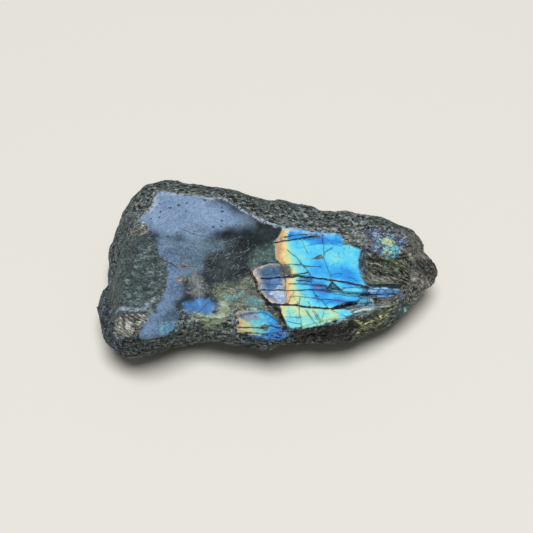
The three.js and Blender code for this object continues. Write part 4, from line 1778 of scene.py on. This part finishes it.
ON_POLISH: tuple[Patch, ...] = (
    Patch(
        Zone.GRAIN, Grain.ROCK, (32, 46, 47), (66, 83, 85), (128, 146, 145),
        soft=0.3, stray=0.9, gloss=0.4, contrast=2.6,
    ),
    Patch(
        Zone.TEAL_EDGE, Grain.MOTTLE, (58, 74, 72), (86, 108, 106), (126, 152, 146),
        soft=1.6, stray=1.4, share=0.8, gloss=1.0,
    ),
    Patch(
        Zone.MINERAL, Grain.MOTTLE, (66, 76, 84), (106, 116, 122), (176, 174, 168),
        soft=1.8, stray=1.8, share=0.8, gloss=0.7,
    ),
    *(
        Patch(
            zone, Grain.MOTTLE, (52, 50, 46), (136, 122, 100), (208, 200, 180),
            soft=0.4, stray=0.8, share=0.9, gloss=0.6,
        )
        for zone in (Zone.RUST_UPPER, Zone.RUST_LOWER)
    ),
    Patch(
        Zone.CORNER_DARK, Grain.MOTTLE, (46, 60, 74), (70, 88, 108), (94, 112, 134),
        soft=1.2, stray=1.0, share=0.8, gloss=1.0,
    ),
    Patch(
        Zone.CORNER_SPOT, Grain.MOTTLE, (48, 92, 126), (68, 136, 170), (120, 186, 180),
        soft=1.4, stray=1.2, share=0.85, gloss=0.8, sink=1.2,
    ),
    Patch(
        Zone.GOLD, Grain.ALONG, (44, 54, 48), (94, 110, 100), (150, 154, 122),
        soft=1.2, stray=1.2, gloss=1.0, contrast=2.6,
    ),
    Patch(
        Zone.GOLD_DARK, Grain.MOTTLE, (44, 44, 38), (72, 70, 60), (104, 98, 80),
        soft=0.7, stray=0.7, share=0.8, gloss=0.8,
    ),
    Patch(
        Zone.TEAL_UPPER, Grain.MOTTLE, (78, 110, 106), (96, 150, 150), (146, 190, 184),
        soft=0.5, stray=0.8, share=0.9, gloss=1.0,
    ),
    Patch(
        Zone.TEAL_LOWER, Grain.MOTTLE, (66, 100, 102), (86, 140, 146), (116, 168, 162),
        soft=0.8, stray=0.8, share=0.9, gloss=1.0,
    ),
    Patch(
        Zone.BLUE_EDGE, Grain.MOTTLE, (98, 118, 96), (142, 162, 136), (180, 186, 130),
        soft=0.8, stray=0.9, share=0.9, gloss=1.0,
    ),
    Patch(
        Zone.BLUE_PATCH, Grain.WANDER, (62, 106, 156), (76, 130, 190), (104, 164, 212),
        soft=0.9, stray=0.7, share=0.95, gloss=1.0, contrast=1.6,
    ),
    Patch(
        Zone.CRESCENT, Grain.ACROSS, (30, 38, 44), (80, 98, 114), (170, 188, 198), gloss=0.6,
    ),
    Patch(
        Zone.BROWN, Grain.LAYERS, (30, 25, 19), (72, 64, 54), (150, 142, 126),
        stray=0.4, contrast=3.2,
    ),
    Patch(
        Zone.LAYERS, Grain.LAYERS, (36, 42, 44), (108, 134, 142), (206, 228, 232),
        gloss=0.5, contrast=3.6, crest_wear_and_shade=0.3,
    ),
)

FLASHES: tuple[Flash, ...] = (
    Flash(
        Zone.SLAB, 0.06, Zone.SLAB_RUN, 0.084, 5.4,
        cloud=0.6, blocks=0.05, soft=0.6, stray=0.3,
    ),
    Flash(Zone.SLAB_BACK, 0.76, cloud=0.8, blocks=0.08, soft=0.6, stray=0.5),
    Flash(Zone.SLAB_DEEP, 0.68, cloud=0.5, blocks=0.04, soft=2.5, stray=0.6),
    Flash(Zone.SLAB_MIDDLE, 0.64, cloud=0.9, blocks=0.12, soft=1.2, stray=0.5),
    Flash(
        Zone.SLAB_FRONT, 0.36, lean=(0.004, 0.006, 14.0, -24.0), cloud=0.4, blocks=0.1,
        soft=0.3, stray=0.2,
    ),
    Flash(Zone.SLAB_TIP, 0.41, cloud=0.2, soft=0.9, stray=0.5),
    Flash(
        Zone.LOWER, 0.4, lean=(0.05, 0.0, -3.0, 0.0), cloud=0.4, mottle=0.8,
        soft=0.2, stray=0.3, gloss=0.1, sink=4.4,
    ),
)

OVER_FLASH: tuple[Patch, ...] = (
    Patch(
        Zone.CHIP, Grain.MOTTLE, (60, 84, 96), (84, 112, 124), (124, 150, 160),
        soft=0.15, stray=0.2, gloss=0.5,
    ),
    Patch(
        Zone.SHATTER, Grain.LAYERS, (20, 56, 92), (34, 96, 150), (70, 160, 220),
        soft=0.6, stray=0.6, share=0.75, gloss=0.8, contrast=3.4,
    ),
    Patch(
        Zone.TRIANGLE, Grain.MOTTLE, (16, 44, 74), (28, 76, 124), (56, 130, 190),
        soft=0.2, stray=0.3, share=0.85, gloss=0.8,
    ),
    Patch(
        Zone.LOBE, Grain.MOTTLE, (150, 134, 120), (198, 182, 164), (224, 210, 202),
        soft=0.2, stray=0.2, gloss=1.0, sink=1.0, contrast=1.6,
    ),
    Patch(
        Zone.LOBE_BLUE, Grain.WANDER, (58, 92, 132), (82, 126, 180), (128, 166, 212),
        soft=1.3, stray=0.9, gloss=1.0, sink=1.0,
    ),
    Patch(
        Zone.LOBE_PALE, Grain.WANDER, (124, 150, 200), (170, 188, 218), (224, 222, 236),
        soft=1.2, stray=0.9, gloss=1.0, sink=1.0,
    ),
    Patch(
        Zone.LOBE_DARK, Grain.WANDER, (50, 76, 98), (74, 106, 132), (104, 136, 160),
        soft=1.2, stray=0.9, share=0.9, gloss=1.0, sink=1.0,
    ),
    Patch(
        Zone.DUSK, Grain.MOTTLE, (44, 52, 56), (70, 80, 84), (122, 116, 100),
        soft=0.8, stray=0.7, share=0.9, gloss=1.0, sink=1.0,
    ),
    Patch(
        Zone.BROKEN_EDGE, Grain.MOTTLE, (30, 32, 26), (76, 80, 70), (176, 176, 154),
        soft=0.3, stray=0.4, gloss=0.2, crest_wear_and_shade=0.2,
    ),
    Patch(
        Zone.LOWER_FOOT, Grain.ALONG, (18, 40, 82), (50, 112, 190), (96, 182, 242),
        soft=0.4, stray=0.6, crest_wear_and_shade=0.2, contrast=3.2, sink=5.4,
    ),
    Patch(
        Zone.LOWER_BAR, Grain.MOTTLE, (118, 138, 162), (152, 174, 200), (196, 206, 222),
        soft=0.4, stray=0.3,
    ),
    Patch(
        Zone.LOWER_PIT, Grain.MOTTLE, (40, 36, 26), (104, 92, 70), (160, 146, 110),
        soft=0.3, stray=0.4,
    ),
)


MOSAICS: tuple[Mosaic, ...] = (
    Mosaic(
        Zone.GREEN_STEPS, (2.8, 1.4, 1.1), (104, 116, 74), (178, 192, 132), (238, 244, 190),
        gap=(20, 21, 14), gap_width=0.16, soft=1.0, stray=2.2,
    ),
    Mosaic(
        Zone.TEAL_STEPS, (1.6, 1.4, 1.2), (34, 52, 52), (70, 118, 124), (146, 200, 202),
        gap=(14, 18, 18), gap_width=0.18, soft=0.5, stray=1.0,
    ),
    Mosaic(
        Zone.CRYSTALS, (1.5, 0.9, 1.2), (48, 64, 78), (96, 126, 168), (166, 190, 226),
        soft=0.8, stray=1.4, share=0.9,
    ),
    Mosaic(
        Zone.CRYSTALS_BRIGHT, (1.7, 2.1, 1.4), (88, 172, 208), (128, 214, 220), (206, 222, 176),
        gap=(34, 58, 62), gap_width=0.07, soft=0.6, stray=1.6, share=0.95,
    ),
    Mosaic(
        Zone.SLIVER, (3.4, 1.1, 3.0), (66, 124, 180), (92, 160, 222), (142, 202, 242),
        gap=(24, 36, 48), gap_width=0.14, stray=0.4, gloss=0.8,
    ),
    Mosaic(
        Zone.CELLS, (3.8, 1.6, 4.0), (76, 158, 200), (108, 196, 230), (146, 218, 240),
        gap=(34, 36, 34), gap_width=0.12, stray=0.3,
    ),
)


@dataclass(frozen=True)
class Cracks:
    """The slab's cracks: dark blue gaps with deeper colour beside them, and a web of hairlines."""

    gap: Colour = (14, 30, 46)
    beside: Colour = (30, 88, 140)
    crest: Colour = (176, 193, 210)
    # The dark line under the slab's edge: partly a fracture gap, partly painted shade.
    edge: Colour = (16, 17, 15)
    stain: Colour = (56, 54, 52)
    wide: Point = (0.08, 0.25)
    gap_soft: float = 0.09
    gap_share: float = 0.95
    beside_reach: Point = (0.1, 0.9)
    beside_share: float = 0.4
    dulled_reach: Point = (0.2, 0.5)
    hairline_width: Point = (0.006, 0.032)
    hairline_patches: Point = (-0.12, 0.1)
    hairline_share: float = 0.5
    hairline_depth: float = 0.3
    edge_soft: float = 0.3
    edge_share: float = 0.9
    stain_soft: float = 0.2
    crest_reach: Point = (0.25, 1.0)
    crest_patches: Point = (-0.14, 0.06)
    crest_share: float = 0.85

    def lay(self, graph: Graph, fields: Fields, under: Skin) -> tuple[Skin, Value]:
        """Draws the cracks, the dark line under the slab's edge (partly a fracture gap, partly
        painted shade), stains, and the pale crest.

        Args:
            graph: The material's nodes.
            fields: The measures to read.
            under: What shows so far.

        Returns:
            What shows now, and how much each place is cracked.
        """
        slab = fields.mask(Zone.SLAB, 0.2, 0.1) | fields.mask(Zone.LOBE, 0.2, 0.1)
        near = graph.attribute(Trace.CRACKS.value + "_gap") + fields.fine * 0.5
        wide = graph.ease(graph.attribute(Trace.CRACKS.value + "_width"), *self.wide)
        halo = (1 - graph.ease(near, *self.beside_reach)) * wide * self.beside_share
        colour = graph.mix(halo, under.colour, self.beside)
        split = fields.line(Trace.CRACKS, self.gap_soft)
        hair = 1 - graph.ease(fields.web, *self.hairline_width)
        hair = hair * graph.ease(fields.cloud + fields.wander, *self.hairline_patches)
        hair = hair * slab * self.hairline_share
        colour = graph.mix(split * self.gap_share | hair, colour, self.gap)
        # The dark line under the slab's edge, partly a fracture gap and partly painted shade.
        gap_and_shade_under_edge = fields.line(Trace.EDGE, self.edge_soft) * self.edge_share
        colour = graph.mix(gap_and_shade_under_edge, colour, self.edge)
        colour = graph.mix(fields.line(Trace.STAINS, self.stain_soft), colour, self.stain)

        lip = graph.attribute(Trace.CREST.value + "_gap") + fields.wander * 3 + fields.fine * 2.5
        pale = 1 - graph.ease(lip, *self.crest_reach)
        pale = pale * graph.ease(fields.mottle, *self.crest_patches)
        colour = graph.mix(pale * self.crest_share, colour, self.crest)
        shiny = 1 - (1 - graph.ease(near, *self.dulled_reach)) * wide
        skin = replace(under, colour=colour, gloss=under.gloss * shiny)
        return skin, split | hair * self.hairline_depth


@dataclass(frozen=True)
class LabradoriteFinish:
    """The stone's whole finish, laid on from the raw rind up."""

    rind: Rind = Rind()
    dull: DullFace = DullFace()
    cracks: Cracks = Cracks()
    raw_roughness: float = 0.7
    polished_roughness: float = 0.2
    specular: float = 0.3
    raw_relief: float = 1.5
    polished_relief: float = 0.04
    crack_relief: float = 0.25

    def build(self) -> bpy.types.Material:
        """Makes the material.

        Returns:
            The material.
        """
        graph = Graph("labradorite")
        fields = Fields(graph)

        skin = self.rind.lay(graph, fields)
        for patch in RAW_PATCHES:
            skin = patch.lay(graph, fields, skin)
        skin = self.dull.lay(graph, fields, skin)
        for patch in ON_POLISH:
            skin = patch.lay(graph, fields, skin)
        skin = self.dull.wear_down(graph, fields, skin)
        for flash in FLASHES:
            skin = flash.lay(graph, fields, skin)
        shine = graph.ramp(skin.hue, SCHILLER)
        skin = replace(skin, colour=graph.mix(skin.flash, skin.colour, shine))
        for patch in OVER_FLASH + MOSAICS:
            skin = patch.lay(graph, fields, skin)
        skin, cracked = self.cracks.lay(graph, fields, skin)
        raw = 1 - skin.gloss
        # Curled lines and pale flecks over the raw parts; the flecks are partly painted glints.
        skin = self.rind.glint_fleck_over(graph, fields, skin, raw)

        grit = fields.mottle * 0.7 + fields.grains[Grain.ALONG] * 0.5
        height = (grit + fields.fine * 0.3) * raw * self.raw_relief
        height = height + fields.fine * self.polished_relief - cracked * self.crack_relief
        bump = graph.node("ShaderNodeBump", {}, {"Distance": MM, "Height": height})
        surface = graph.node(
            "ShaderNodeBsdfPrincipled",
            {},
            {
                "Base Color": skin.colour,
                "Roughness": graph.blend(skin.gloss, self.raw_roughness, self.polished_roughness),
                "Specular IOR Level": self.specular,
                "Normal": bump.outputs["Normal"],
            },
        )
        graph.node("ShaderNodeOutputMaterial", {}, {"Surface": surface.outputs["BSDF"]})
        return graph.material


@dataclass
class Studio:
    """A plain pale floor, soft light from almost straight above, and the camera.

    Lengths are in metres, angles in degrees, and the frame in pixels.
    """

    floor_size: float = 6.0
    floor_colour: Colour = (229, 227, 219)
    floor_roughness: float = 0.9
    floor_specular: float = 0.1
    light_place: Triple = (0.02, -0.24, 2.0)
    light_size: float = 0.8
    light_power: float = 38.0
    fill: float = 0.12
    fill_colour: tuple[float, float, float, float] = (1.0, 0.95, 0.88, 1.0)
    lens: float = 90.0
    elevation: float = 62.0
    distance: float = 0.46618
    target: Triple = (0.0, 0.0, 0.018)
    nearest: float = 0.01
    frame_width: float = 533.0
    frame_shift: float = 1.5

    def build(self) -> None:
        """Sets the floor, the lights, the world and the camera."""
        self._lay_floor()
        self._hang_light()
        self._fill_round()
        self._place_camera()

    def _lay_floor(self) -> None:
        """Lays the floor under the stone."""
        bpy.ops.object.select_all(action="DESELECT")
        bpy.ops.mesh.primitive_plane_add(size=self.floor_size)
        floor = bpy.context.active_object
        floor.name = "floor"
        graph = Graph("pale_floor")
        surface = graph.node(
            "ShaderNodeBsdfPrincipled",
            {},
            {
                "Base Color": linear(self.floor_colour),
                "Roughness": self.floor_roughness,
                "Specular IOR Level": self.floor_specular,
            },
        )
        graph.node("ShaderNodeOutputMaterial", {}, {"Surface": surface.outputs["BSDF"]})
        floor.data.materials.append(graph.material)

    def _hang_light(self) -> None:
        """Hangs the softbox, turned to the stone."""
        place = Vector(self.light_place)
        bpy.ops.object.light_add(type="AREA", location=place)
        light = bpy.context.active_object
        light.name = "softbox"
        light.data.shape = "DISK"
        light.data.size = self.light_size
        light.data.energy = self.light_power
        aim = Vector(self.target) - place
        light.rotation_euler = aim.to_track_quat("-Z", "Y").to_euler()

    def _fill_round(self) -> None:
        """Fills the shadows with an even pale light."""
        world = bpy.data.worlds.new("pale_room")
        world.use_nodes = True
        background = world.node_tree.nodes["Background"]
        background.inputs["Color"].default_value = self.fill_colour
        background.inputs["Strength"].default_value = self.fill
        bpy.context.scene.world = world
        bpy.context.scene.view_settings.view_transform = "Standard"

    def _place_camera(self) -> None:
        """Aims the camera down at the polished face."""
        pitch = math.radians(self.elevation)
        ahead = Vector((0.0, math.cos(pitch), -math.sin(pitch)))
        place = Vector(self.target) - ahead * self.distance
        bpy.ops.object.camera_add(location=place)
        camera = bpy.context.active_object
        camera.rotation_euler = ahead.to_track_quat("-Z", "Y").to_euler()
        camera.data.lens = self.lens
        camera.data.clip_start = self.nearest
        camera.data.shift_y = self.frame_shift / self.frame_width
        bpy.context.scene.camera = camera


def main() -> None:
    """Builds the stone and its studio, and reports each piece."""
    logging.basicConfig(level=logging.INFO, format="%(name)s: %(message)s")
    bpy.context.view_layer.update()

    body = StoneBody(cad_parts["labradorite_chunk"])
    stone = body.build()
    stone.data.materials.clear()
    stone.data.materials.append(LabradoriteFinish().build())
    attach(stone, "root")
    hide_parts("labradorite_chunk")
    LOG.info("%s: %d faces", stone.name, len(stone.data.polygons))

    Studio().build()
    LOG.info("studio: floor, softbox, fill and camera")


if __name__ == "__main__":
    main()
